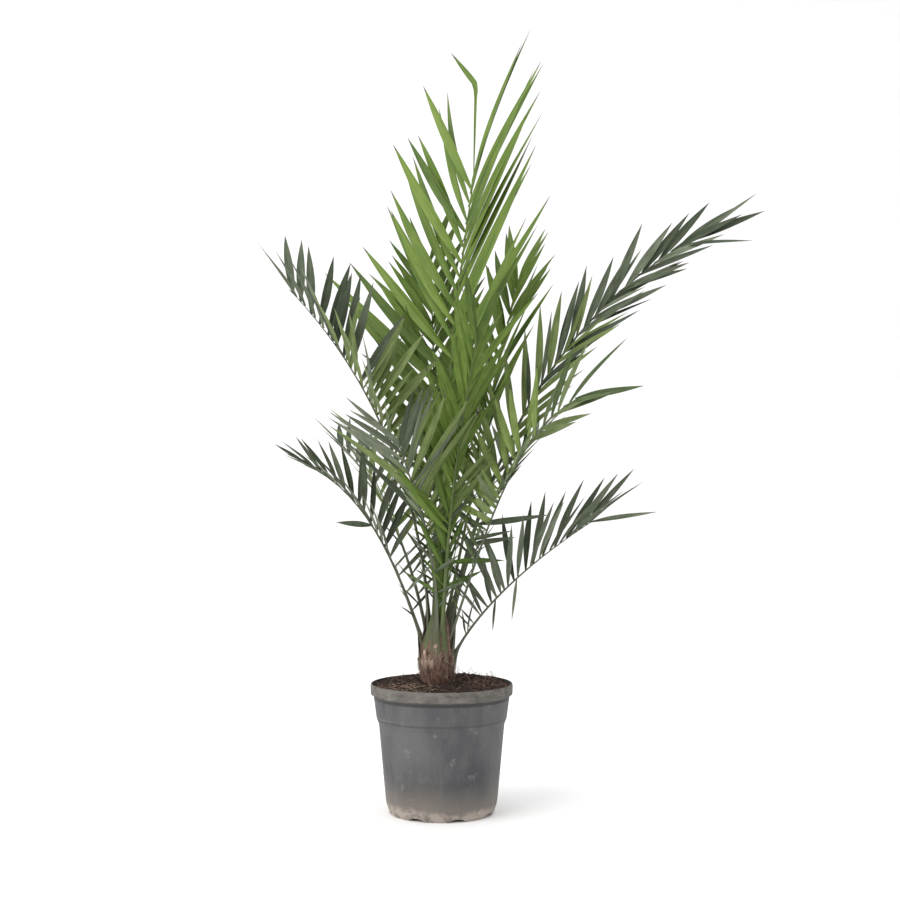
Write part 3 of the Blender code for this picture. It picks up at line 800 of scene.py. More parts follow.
def swept_tree() -> Tree:
    """Sweeps a folded lens-shaped section along each polyline, for leaflets, ribs, stubs and strands.

    The polylines carry their own section: half (half-width), face and side (directions), along (share of the
    length), tint (which of the materials) and number (which strand it is).

    Returns:
        The geometry tree, built on first use.
    """
    made = bpy.data.node_groups.get("swept_blades")
    if made:
        return made
    group = Group("GeometryNodeTree", "swept_blades", {
        "Paths": "NodeSocketGeometry", "Sides": 8, "Thickness": 0.06, "Fold at Root": 1.0, "Fold at Tip": 0.2,
        "Channel": 0.0, "Dry From": 2.0, **dict.fromkeys((*TINTS, DRY), "NodeSocketMaterial"),
    }, ["Blades"], "NodeSocketGeometry")
    given = group.given
    curves = group.add("GeometryNodeMeshToCurve", {"Mesh": given["Paths"]})
    centre = captured(group, curves.outputs[0], "Centre")
    ring = group.add("GeometryNodeCurvePrimitiveCircle", {"Resolution": given["Sides"], "Radius": 1.0})
    section = captured(group, ring.outputs["Curve"], "Section")
    swept_curves = group.add("GeometryNodeCurveToMesh", {
        "Curve": centre.outputs["Geometry"], "Profile Curve": section.outputs["Geometry"], "Fill Caps": True,
    })
    parts = group.add("ShaderNodeSeparateXYZ", {0: section.outputs["Section"]}).outputs
    across, out_of, along = parts["X"], parts["Y"], attribute_of(group, "along")
    fold = group.add("ShaderNodeMapRange", {
        0: group.math("POWER", along, 0.6), 1: 0.0, 2: 1.0, 3: given["Fold at Root"], 4: given["Fold at Tip"],
    }).outputs[0]
    wide = group.times(across, group.math("COSINE", fold))
    reach = group.math("ABSOLUTE", across)
    raised = group.times(reach, group.math("SINE", fold))
    thick = group.times(out_of, given["Thickness"])
    hollow = group.times(group.math("MAXIMUM", out_of, 0.0), group.math("SUBTRACT", 1.0, reach))
    hollow = group.times(hollow, given["Channel"])
    lifted = group.math("SUBTRACT", group.math("ADD", raised, thick), hollow)
    place, half = centre.outputs["Centre"], attribute_of(group, "half")
    for direction, amount in (("side", wide), ("face", lifted)):
        way = attribute_of(group, direction, "FLOAT_VECTOR")
        place = group.vector("ADD", place, group.vector("SCALE", way, group.times(amount, half)))
    moved = group.add("GeometryNodeSetPosition", {"Geometry": swept_curves.outputs[0], "Position": place})
    stored = group.add("GeometryNodeStoreNamedAttribute", {
        "Geometry": moved.outputs[0], "Name": "across", "Value": across,
    }, data_type="FLOAT", domain="POINT")
    flow = group.add("GeometryNodeRealizeInstances", {"Geometry": stored.outputs[0]}).outputs[0]
    tint = attribute_of(group, "tint")
    chosen = {label: group.math("COMPARE", tint, float(number), 0.25) for number, label in enumerate(TINTS)}
    chosen[DRY] = group.math("GREATER_THAN", along, given["Dry From"])
    for label, here in chosen.items():
        inputs = {"Geometry": flow, "Selection": here, "Material": given[label]}
        flow = group.add("GeometryNodeSetMaterial", inputs).outputs[0]
    return group.give(Blades=flow)


@dataclass
class Path:
    """One polyline for the swept tree, with its section at each point."""

    points: list[Vector]
    halves: list[float]
    faces: list[Vector]
    tint: int = 0
    number: float = 0.0


def path_of(
    steps: int, place: Callable[[float], Vector], half: Callable[[float], float],
    face: Vector | Callable[[float], Vector], tint: int = 0, number: float = 0.0,
) -> Path:
    """A path whose points follow from the share of its length.

    Args:
        steps: How many stretches it has.
        place: The place at a share.
        half: The half-width at a share.
        face: The direction out of its upper face, for all of it or at a share.
        tint: Which of the materials it has.
        number: Which strand it is, for its pattern.

    Returns:
        The path.
    """
    shares = [step / steps for step in range(steps + 1)]
    faces = [face] * len(shares) if isinstance(face, Vector) else [face(share) for share in shares]
    points, halves = [place(share) for share in shares], [half(share) for share in shares]
    return Path(points, halves, faces, tint, number)


def swept(
    name: str, paths: Sequence[Path], sides: int, thickness: float, folds: Pair,
    tints: Sequence[Material], channel: float = 0.0, dry_from: float = 2.0,
) -> Object:
    """A piece made of closed blades swept along paths.

    Args:
        name: The piece's name.
        paths: The polylines.
        sides: How many sides a blade's section has.
        thickness: Half the section's thickness against its half-width.
        folds: The fold of each half of the blade at its root and tip, in degrees.
        tints: The materials that Path.tint picks from, and last the dry one where dry_from is below 1.
        channel: Depth of the hollow in the upper face, against the half-width.
        dry_from: Share of the length from which the dry material is used.

    Returns:
        The finished piece.
    """
    vertices: list[Vector] = []
    edges: list[tuple[int, int]] = []
    values: dict[str, list[float]] = {key: [] for key in ("half", "along", "tint", "number", "face", "side")}
    for path in paths:
        start, count = len(vertices), len(path.points)
        vertices += path.points
        edges += [(start + index, start + index + 1) for index in range(count - 1)]
        values["half"] += path.halves
        values["along"] += [index / (count - 1) for index in range(count)]
        values["tint"] += [float(path.tint)] * count
        values["number"] += [path.number] * count
        for index, face in enumerate(path.faces):
            ahead = path.points[min(index + 1, count - 1)] - path.points[max(index - 1, 0)]
            face = (face - ahead * (face.dot(ahead) / ahead.length_squared)).normalized()
            values["face"].extend(face)
            values["side"].extend(face.cross(ahead).normalized())
    mesh = bpy.data.meshes.new(name)
    mesh.from_pydata(vertices, edges, [])
    for key, numbers in values.items():
        vector = key in ("face", "side")
        layer = mesh.attributes.new(key, "FLOAT_VECTOR" if vector else "FLOAT", "POINT")
        layer.data.foreach_set("vector" if vector else "value", numbers)
    inputs = {
        "Sides": sides, "Thickness": thickness, "Fold at Root": math.radians(folds[0]),
        "Fold at Tip": math.radians(folds[1]), "Channel": channel, "Dry From": dry_from,
        **dict(zip(TINTS, tints)),
    }
    if dry_from < 1.0:
        inputs[DRY] = tints[-1]
    piece = dressed(name, mesh, swept_tree(), inputs)
    smoothed(piece, 32.0)
    return piece


def bunch(count: int, dice: Dice, make: Callable[[int, Dice], Path]) -> list[Path]:
    """Paths made one after another: make gives one from its number and from dice for its place and size."""
    return [make(number, dice) for number in range(count)]


class Bit(Enum):
    """What is scattered over the soil."""

    CRUMB = "crumb"
    CHIP = "chip"
    STRAW = "straw"

    def shape(self, group: Group) -> Socket:
        """The shape, about one metre long, that the scatter tree repeats.

        Args:
            group: The tree under construction.

        Returns:
            The shape's socket.
        """
        if self is Bit.STRAW:
            arc = group.add("GeometryNodeCurveQuadraticBezier", {
                "Resolution": 6, "Start": (-0.5, 0.0, 0.0), "Middle": (0.05, 0.14, 0.10),
                "End": (0.5, 0.0, 0.0),
            })
            ring = group.add("GeometryNodeCurvePrimitiveCircle", {"Resolution": 4, "Radius": 0.026})
            return group.add("GeometryNodeCurveToMesh", {
                "Curve": arc.outputs[0], "Profile Curve": ring.outputs["Curve"], "Fill Caps": True,
            }).outputs[0]
        if self is Bit.CHIP:
            inputs = {"Size": (1.0, 0.45, 0.16), "Vertices X": 4, "Vertices Y": 3, "Vertices Z": 2}
            shape = group.add("GeometryNodeMeshCube", inputs)
        else:
            shape = group.add("GeometryNodeMeshIcoSphere", {"Radius": 0.5, "Subdivisions": 2})
        scale = group.combined(1.0, 0.85, group.given["Flatness"])
        return group.add("GeometryNodeTransform", {"Geometry": shape.outputs[0], "Scale": scale}).outputs[0]


def scatter_tree(bit: Bit) -> Tree:
    """Scatters small shapes over a surface where its attribute cover allows.

    Args:
        bit: The shape that is scattered.

    Returns:
        The geometry tree.
    """
    group = Group("GeometryNodeTree", "scattered_" + bit.value, {
        "Surface": "NodeSocketGeometry", "Density": 1000.0, "Smallest": 0.001, "Largest": 0.003,
        "Flatness": 0.7, "Tilt": 0.4, "Seed": 1, "Finish": "NodeSocketMaterial",
    }, ["Bits"], "NodeSocketGeometry")
    given, seed = group.given, group.given["Seed"]
    density = group.times(attribute_of(group, "cover"), given["Density"])
    inputs = {"Mesh": given["Surface"], "Density": density, "Seed": seed}
    spots = group.add("GeometryNodeDistributePointsOnFaces", inputs)
    turn = group.add("FunctionNodeRandomValue", {
        0: (0.0, 0.0, 0.0), 1: (math.tau, math.tau, math.tau), "Seed": seed,
    }, data_type="FLOAT_VECTOR").outputs[0]
    turn = group.vector("MULTIPLY", group.vector("SUBTRACT", turn, (math.pi, math.pi, 0.0)), (0.5, 0.5, 1.0))
    size = group.add("FunctionNodeRandomValue", {
        2: given["Smallest"], 3: given["Largest"], "Seed": group.math("ADD", seed, 7.0),
    }, data_type="FLOAT").outputs[1]
    bits = group.add("GeometryNodeInstanceOnPoints", {
        "Points": spots.outputs["Points"], "Instance": bit.shape(group), "Scale": size,
        "Rotation": group.vector("MULTIPLY", turn, group.combined(given["Tilt"], given["Tilt"], 1.0)),
    })
    real = group.add("GeometryNodeRealizeInstances", {"Geometry": bits.outputs[0]})
    # Roughened after it is real, so that no two bits are alike
    wobble = group.add("ShaderNodeTexNoise", {"Scale": 420.0, "Detail": 1.0}).outputs["Color"]
    shift = group.vector("SCALE", group.vector("SUBTRACT", wobble, (0.5, 0.5, 0.5)), 0.0024)
    rough = group.add("GeometryNodeSetPosition", {"Geometry": real.outputs[0], "Offset": shift})
    inputs = {"Geometry": rough.outputs[0], "Material": given["Finish"]}
    return group.give(Bits=group.add("GeometryNodeSetMaterial", inputs).outputs[0])


# --- pot ---


@dataclass
class PotShell:
    """The tapered pot: foot ring with arches, drain holes, faint moulding lines and a banded rim."""

    segments: int = 144
    arch_segments: int = 96
    drain_segments: int = 24
    height: float = 0.2168
    rim_radius: float = 0.1195
    foot_radius: float = 0.0868
    channel_rise: float = 0.0065
    arches: int = 8
    arch_width: float = 0.033
    arch_height: float = 0.0055
    first_arch: float = -73.0
    drain_radius: float = 0.006
    drain_circle: float = 0.0695
    line_height: float = 0.0660
    line_proud: float = 0.00035
    wall_foot: Pair = (0.0934, 0.0180)
    wall_top: Pair = (0.1054, 0.1490)

    def profile(self) -> list[Pair]:
        """Radius and height round the wall.

        Returns:
            The profile, from the middle of the underside round the outside to the inner floor.
        """
        line = self.line_height
        (foot_radius, foot), (top_radius, top) = self.wall_foot, self.wall_top
        at_line = mix((foot_radius, top_radius), (line - foot) / (top - foot))
        return rounded((
            (0.0, 0.0, 0.0),
            (0.0580, 0.0, 0.0012),
            (0.0605, self.channel_rise, 0.001),
            (0.0775, self.channel_rise, 0.001),
            (0.0790, 0.0, 0.0006),
            (self.foot_radius, 0.0, 0.0010),
            (foot_radius, foot, 0.006),
            (at_line, line - 0.0006, 0.0),
            (at_line + self.line_proud, line, 0.0),
            (at_line + self.line_proud, line + 0.0016, 0.0),
            (at_line + 0.0002, line + 0.0024, 0.0),
            (top_radius, top, 0.0012),
            (0.1094, 0.1598, 0.0016),
            (0.1144, 0.1970, 0.0010),
            (0.1190, 0.1994, 0.0010),
            (self.rim_radius, 0.2130, 0.0016),
            (0.1185, self.height, 0.0012),
            (0.1162, self.height, 0.0010),
            (0.1152, 0.2005, 0.002),
            (0.1124, 0.1960, 0.002),
            (0.1076, 0.1618, 0.002),
            (0.1036, 0.1500, 0.002),
            (0.0845, 0.0095, 0.002),
            (0.0590, 0.0095, 0.001),
            (0.0565, 0.0030, 0.001),
            (0.0, 0.0030, 0.0),
        ))

    def _rod(self, radius: float, low: float, high: float, segments: int) -> Shape:
        """An upright rod that cuts one arch or hole."""
        return turned(((0.0, low), (radius, low), (radius, high), (0.0, high)), segments)

    def cutters(self) -> list[Shape]:
        """The arches through the foot ring and the drain holes beside them.

        Returns:
            A solid for each of them.
        """
        radius = (self.arch_width**2 / 4 + self.arch_height**2) / (2 * self.arch_height)
        arch = self._rod(radius, -0.010, 0.0145, self.arch_segments)
        hole = self._rod(self.drain_radius, 0.002, 0.013, self.drain_segments)
        shapes = []
        for index in range(self.arches):
            outward = heading_of(self.first_arch + 360.0 * index / self.arches)
            tangent = UP.cross(outward)
            foot = outward * self.foot_radius + UP * (self.arch_height - radius)
            ring = [foot + tangent * point.x + UP * point.y + outward * point.z for point in arch[0]]
            shapes.append((ring, arch[1]))
            shapes.append(([outward * self.drain_circle + point for point in hole[0]], hole[1]))
        return shapes

    def build(self) -> Object:
        """Builds and dresses the pot.

        Returns:
            The finished piece.
        """
        shell = mesh_of("pot_shell", turned(self.profile(), self.segments))
        pot = placed("pot_shell", shell, PotFinish().material())
        tools = bpy.data.collections.new("pot_cutters")
        bpy.context.scene.collection.children.link(tools)
        for number, shape in enumerate(self.cutters()):
            tools.objects.link(bpy.data.objects.new(f"cutter_{number}", mesh_of("cutter", shape)))
        cut = pot.modifiers.new("Cut", "BOOLEAN")
        cut.operation, cut.operand_type, cut.solver = "DIFFERENCE", "COLLECTION", "EXACT"
        cut.collection = tools
        evaluated(pot)
        for helper in list(tools.objects):
            bpy.data.objects.remove(helper)
        bpy.data.collections.remove(tools)
        smoothed(pot, 38.0)
        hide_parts("pot")
        return pot


# --- soil ---


@dataclass
class SoilBed:
    """Potting soil heaped a little round the stem, with crumbs, bark chips, straw and root wisps on it."""

    segments: int = 144
    rings: int = 46
    edge_height: float = 0.2125
    middle_height: float = 0.2172
    heap_run: float = 0.055
    back_rise: float = 0.0048
    lump: float = 0.0024
    hollow: float = 0.0030
    reach: float = 0.1149
    stem_x: float = -0.008
    litter_rows: int = 16
    litter_spots: int = 48
    wisp_count: int = 120
    seed: int = 11

    def height_at(self, x: float, y: float) -> float:
        """Height of the soil's surface.

        Args:
            x: The point of the ground, to the right.
            y: The point of the ground, to the back.

        Returns:
            The height over that point.
        """
        inward = self.reach - math.hypot(x, y)
        even = mix((self.edge_height, self.middle_height), smooth(inward / self.heap_run))
        near_wall = smooth(inward / 0.012)
        lumps = noise.fractal(Vector((x, y, 0.0)) * 55.0 + Vector((3.0, 1.0, 0.0)), 1.0, 2.0, 4)
        crumble = noise.fractal(Vector((x, y, 0.5)) * 210.0, 1.0, 2.0, 3)
        back = self.back_rise * smooth((y + 0.01) / 0.06) * mix((0.95, 1.0), smooth((x + 0.03) / 0.05))
        hollow = self.hollow * smooth(1.0 - math.hypot(x - 0.030, y + 0.045) / 0.045)
        return even + near_wall * (self.lump * lumps + 0.0008 * crumble + back - hollow)

    def bed(self) -> Object:
        """The soil itself: the pot's inner shape with a crumbly top.

        Returns:
            The finished piece.
        """
        wall = [(0.0, 0.0033), (0.0561, 0.0033), (0.0586, 0.0098), (0.0842, 0.0098)]
        wall += [(0.1033, 0.1500), (0.1073, 0.1618), (0.1121, 0.1960)]
        top = [(self.reach * (1.0 - ring / self.rings), self.edge_height) for ring in range(self.rings)]
        vertices, faces = turned(wall + top + [(0.0, self.edge_height)], self.segments)
        for vertex in vertices:
            if vertex.z > self.edge_height - 0.001:
                vertex.z = self.height_at(vertex.x, vertex.y)
        bed = placed("soil_bed", mesh_of("soil_bed", (vertices, faces)), SoilFinish().material())
        smoothed(bed, 60.0)
        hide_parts("soil")
        return bed

    def litter(
        self, name: str, bit: Bit, finish: Material, cover: "Cover", seed: int, density: float,
        size: Pair, tilt: float, flatness: float = 0.7,
    ) -> Object:
        """Scatters one kind of litter over the soil's surface.

        Args:
            name: The piece's name.
            bit: The shape that is scattered.
            finish: Its material.
            cover: Where on the soil it lies.
            seed: What its places follow from.
            density: How many bits a square metre has.
            size: The smallest and the largest bit.
            tilt: How steeply a bit may lie.
            flatness: A bit's height against its length.

        Returns:
            The finished piece.
        """
        patch = bmesh.new()
        rings = []
        for row in range(1, self.litter_rows + 1):
            radius = (self.reach - 0.003) * row / self.litter_rows
            turns = [360.0 / self.litter_spots * index for index in range(self.litter_spots)]
            spots = [heading_of(turn) * radius for turn in turns]
            rings.append([patch.verts.new((s.x, s.y, self.height_at(s.x, s.y))) for s in spots])
        for low, high in zip(rings, rings[1:]):
            for index in range(self.litter_spots):
                after = (index + 1) % self.litter_spots
                patch.faces.new((low[index], high[index], high[after], low[after]))
        mesh = bpy.data.meshes.new(name)
        patch.to_mesh(mesh)
        patch.free()
        layer = mesh.attributes.new("cover", "FLOAT", "POINT")
        layer.data.foreach_set("value", [cover.at(vertex.co, self.stem_x) for vertex in mesh.vertices])
        piece = dressed(name, mesh, scatter_tree(bit), {
            "Density": density, "Smallest": size[0], "Largest": size[1], "Flatness": flatness, "Tilt": tilt,
            "Seed": seed, "Finish": finish,
        })
        return piece

    def _wisp(self, number: int, dice: Dice) -> Path:
        """One root hair or dry blade; every fifth one stands anywhere, and the others at the back.

        Args:
            number: Its number.
            dice: The draws.

        Returns:
            Its path.
        """
        angle = dice.uniform(-25.0, 110.0) if number % 5 else dice.uniform(0.0, 360.0)
        spot = heading_of(angle) * dice.uniform(0.045, 0.108)
        foot = Vector((spot.x, spot.y, self.height_at(spot.x, spot.y) - 0.001))
        lean = heading_of(dice.uniform(0.0, 360.0)) * dice.uniform(0.2, 1.0)
        length = dice.uniform(0.006, 0.017)
        curl = heading_of(dice.uniform(0.0, 360.0)) * dice.uniform(0.1, 0.5)
        widths = [dice.uniform(0.00034, 0.00070) for _ in range(6)]
        return path_of(
            5, lambda share: foot + (UP + lean * share + curl * share**2) * (length * share),
            lambda share: widths[round(5 * share)] * (1.0 - 0.6 * share), heading_of(angle),
            dice.randrange(2), float(number),
        )

    def wisps(self) -> Object:
        """Thin root hairs and dry blades that stick up out of the soil, mostly at the back and the right.

        Returns:
            The finished piece.
        """
        dice = Dice(self.seed)
        paths = bunch(self.wisp_count, dice, self._wisp)
        piece = swept("soil_wisps", paths, 4, 0.7, (0.0, 0.0), (STRAW.material(), DARK_FIBRE.material()))
        return piece

    def build(self) -> list[Object]:
        """Builds the soil and everything that lies on it.

        Returns:
            The soil's pieces.
        """
        bark, straw, crumb = BARK.material(), STRAW.material(), SoilFinish("soil_crumb").material()
        everywhere, front_left = Cover(), Cover(heading=222.0, spread=52.0, inner=0.030)
        right_back = Cover(heading=20.0, spread=85.0, inner=0.035)
        return [
            self.bed(),
            self.litter("soil_crumbs", Bit.CRUMB, crumb, everywhere, 3, 42000.0, (0.0014, 0.0052), 1.0, 0.75),
            self.litter("soil_lumps", Bit.CRUMB, crumb, right_back, 4, 1500.0, (0.005, 0.011), 1.0, 0.8),
            self.litter("bark_chips", Bit.CHIP, bark, right_back, 5, 5200.0, (0.004, 0.011), 0.35, 0.9),
            self.litter("straw_bits", Bit.STRAW, straw, front_left, 8, 13000.0, (0.010, 0.027), 0.22),
            self.litter("scattered_straw", Bit.STRAW, straw, everywhere, 9, 1500.0, (0.005, 0.014), 0.3),
            self.wisps(),
        ]


@dataclass(frozen=True)
class Cover:
    """Where on the soil litter lies: a sector round a heading, outside a circle round the stem."""

    heading: float = 0.0
    spread: float = 360.0
    inner: float = 0.026

    def at(self, spot: Vector, stem_x: float) -> float:
        """How much of the litter lies at a point.

        Args:
            spot: The point.
            stem_x: Where the stem stands.

        Returns:
            The cover, from 0 to 1.
        """
        away = math.hypot(spot.x - stem_x, spot.y)
        if self.spread >= 360.0:
            sector = 1.0
        else:
            turn = math.degrees(math.atan2(spot.y, spot.x)) - self.heading
            sector = smooth(1.6 - abs((turn + 180.0) % 360.0 - 180.0) / self.spread * 1.6)
        return sector * smooth((away - self.inner) / 0.008)


# --- fronds ---

RIB_STEPS = 48
STEPS_PER_STATION = 3
SHEATH_SHARE = 0.12  # Share of the rib over which its foot widens into a sheath
SHEATH_FLARE = 0.7
RIB_TIP_SHARE = 0.2
RIB_TAPER = 0.8
RIB_SECTION = ((1.0, 0.55), (-1.0, 0.55), (-0.75, -0.75), (0.75, -0.75))
LEAF_ROOT_SHARE = 0.42
LEAF_WIDEST = 0.38
LEAF_DEPTH = 0.014
LEAF_FULLNESS = 1.8
LEAF_EDGE = 0.4
LEAF_FOOT_WIDTH = 0.34
LEAF_TIP_WIDTH = 0.025
LEAF_STEPPING = 0.92  # Below 1 a leaflet's points stand closer towards its tip
LEAF_BOW = (0.002, 0.022)
LEAF_SWAY = 0.014
LEAF_TWIST = 16.0
ROW_STAGGER = 0.25
ROW_UNREST = 0.2
LENGTH_UNREST = 0.08
FIRST_LENGTH = 0.3
FIRST_WIDTH = 0.25
FALL_FROM = 0.45
FALL_THINNER = 0.15
LAST_SHARE = 0.995
SNAP_SHARE = 0.69
SNAP_ANGLE = 35.0
SNAPPED_LENGTH = 0.267
SNAPPED_SPREAD = 7.0
SNAPPED_LIFT = 47.0
SNAPPED_WIDTH = 0.5
SNAPPED_ROLLED = 0.5  # Width of the rolled stretch below the snap
LEAF_MARGIN = 0.0008
FIRST_SPINE = 0.13
SPINE_LENGTH = (0.045, 0.090)
SPINE_WIDTH = (0.0045, 0.0080)
SPINE_SPREAD = (58.0, 12.0)
SPINE_LIFT = (32.0, 18.0)
SPINE_ROW_UNREST = 0.15
SPINE_LENGTH_UNREST = 0.25
SPINE_ROW = -1.0  # The row that a spine and a stray count as when their green is chosen
STRAY_ROW = 0.5
SWINGS = (
    (0, 0), (7, 0), (-7, 0), (0, 12), (0, -12), (8, 14), (-8, -14), (14, 0), (-14, 0), (8, -24), (-8, 24),
)
SHORTER = (1.0, 0.82, 0.64)
BETWEEN_ROWS = 0.72  # Rows up to which narrow leaflets stand between a frond's others
BETWEEN_CHANCE = 0.62
BETWEEN_LENGTH = (0.62, 0.92)
BETWEEN_WIDTH = (0.45, 0.66)
BETWEEN_SPREAD = 9.0
BETWEEN_LIFT = 20.0


@dataclass(frozen=True)
class Station:
    """A point of a rib, with the directions along it, out of its upper face and to its side."""

    share: float
    point: Vector
    along: Vector
    face: Vector
    side: Vector


Course = Sequence[Station]


@dataclass(frozen=True)
class Leaflet:
    """One folded leaflet: its root, the way it points, the way its blade lies and its size."""

    root: Vector
    along: Vector
    across: Vector
    upward: Vector
    length: float
    width: float
    snapped: bool
    row: float

    def plain(self, margin: float = 0.0) -> Shape:
        """The three-sided blade that stands for this leaflet when it looks for free space.

        Args:
            margin: How much larger it is made all round.

        Returns:
            Vertices and faces.
        """
        depth = self.length * LEAF_DEPTH
        widest = SNAP_SHARE if self.snapped else LEAF_WIDEST
        middle = self.root + self.along * (self.length * widest)
        vertices = []
        for centre, share in ((self.root, LEAF_ROOT_SHARE), (middle, 1.0)):
            half = self.width * share / 2 + margin
            edge = centre + self.upward * (LEAF_EDGE * depth * share + margin)
            vertices.append(edge - self.across * half)
            vertices.append(edge + self.across * half)
            vertices.append(centre - self.upward * ((1.0 - LEAF_EDGE) * depth * share + margin))
        onward = self.snapped_along() if self.snapped else self.along
        vertices.append(middle + onward * (self.length * (1.0 - widest) + margin))
        faces: list[tuple[int, ...]] = [(0, 1, 2)]
        for corner in range(3):
            after = (corner + 1) % 3
            faces.append((corner, after, after + 3, corner + 3))
            faces.append((corner + 3, after + 3, 6))
        return vertices, faces

    def path(self, dice: Dice, steps: int, tint: int, number: float) -> Path:
        """The leaflet's curved midrib with its true lanceolate outline.

        Args:
            dice: Where its small bends come from.
            steps: How many stretches the midrib has.
            tint: Which of the four greens it has.
            number: Which leaflet it is, for its pattern.

        Returns:
            The path for the swept tree.
        """
        bow = dice.uniform(*LEAF_BOW) * self.length
        sway = dice.uniform(-LEAF_SWAY, LEAF_SWAY) * self.length
        twist = math.radians(dice.uniform(-LEAF_TWIST, LEAF_TWIST))
        points, halves, faces = [], [], []
        for step in range(steps + 1):
            share = (step / steps) ** LEAF_STEPPING
            if self.snapped:
                rolled = mix((SNAPPED_ROLLED, 1.0), smooth((share - SNAP_SHARE + 0.12) / 0.16))
                points.append(self._snapped_point(share))
                halves.append(self.width / 2 * rolled * leaf_outline(share, SNAP_SHARE + 0.04))
            else:
                bend = math.sin(math.pi * share)
                point = self.root + self.along * (self.length * share)
                points.append(point + self.upward * (bow * bend) + self.across * (sway * bend))
                halves.append(self.width / 2 * leaf_outline(share, LEAF_WIDEST))
            faces.append(Matrix.Rotation(twist * share, 3, self.along) @ self.upward)
        return Path(points, halves, faces, tint, number)

    def snapped_along(self) -> Vector:
        """The direction of an end that has snapped over."""
        turn = math.radians(SNAP_ANGLE)
        return self.along * math.cos(turn) - self.across * math.sin(turn)

    def _snapped_point(self, share: float) -> Vector:
        """A point of a leaflet whose end has snapped over."""
        straight = self.along * (self.length * min(share, SNAP_SHARE))
        return self.root + straight + self.snapped_along() * (self.length * max(share - SNAP_SHARE, 0.0))


def leaf_outline(share: float, widest: float) -> float:
    """Half-width of a lanceolate leaflet, against its greatest, at a share of its length."""
    if share < widest:
        return mix((LEAF_FOOT_WIDTH, 1.0), math.sin(math.pi / 2 * share / widest))
    return max(1.0 - ((share - widest) / (1.0 - widest)) ** LEAF_FULLNESS, LEAF_TIP_WIDTH)


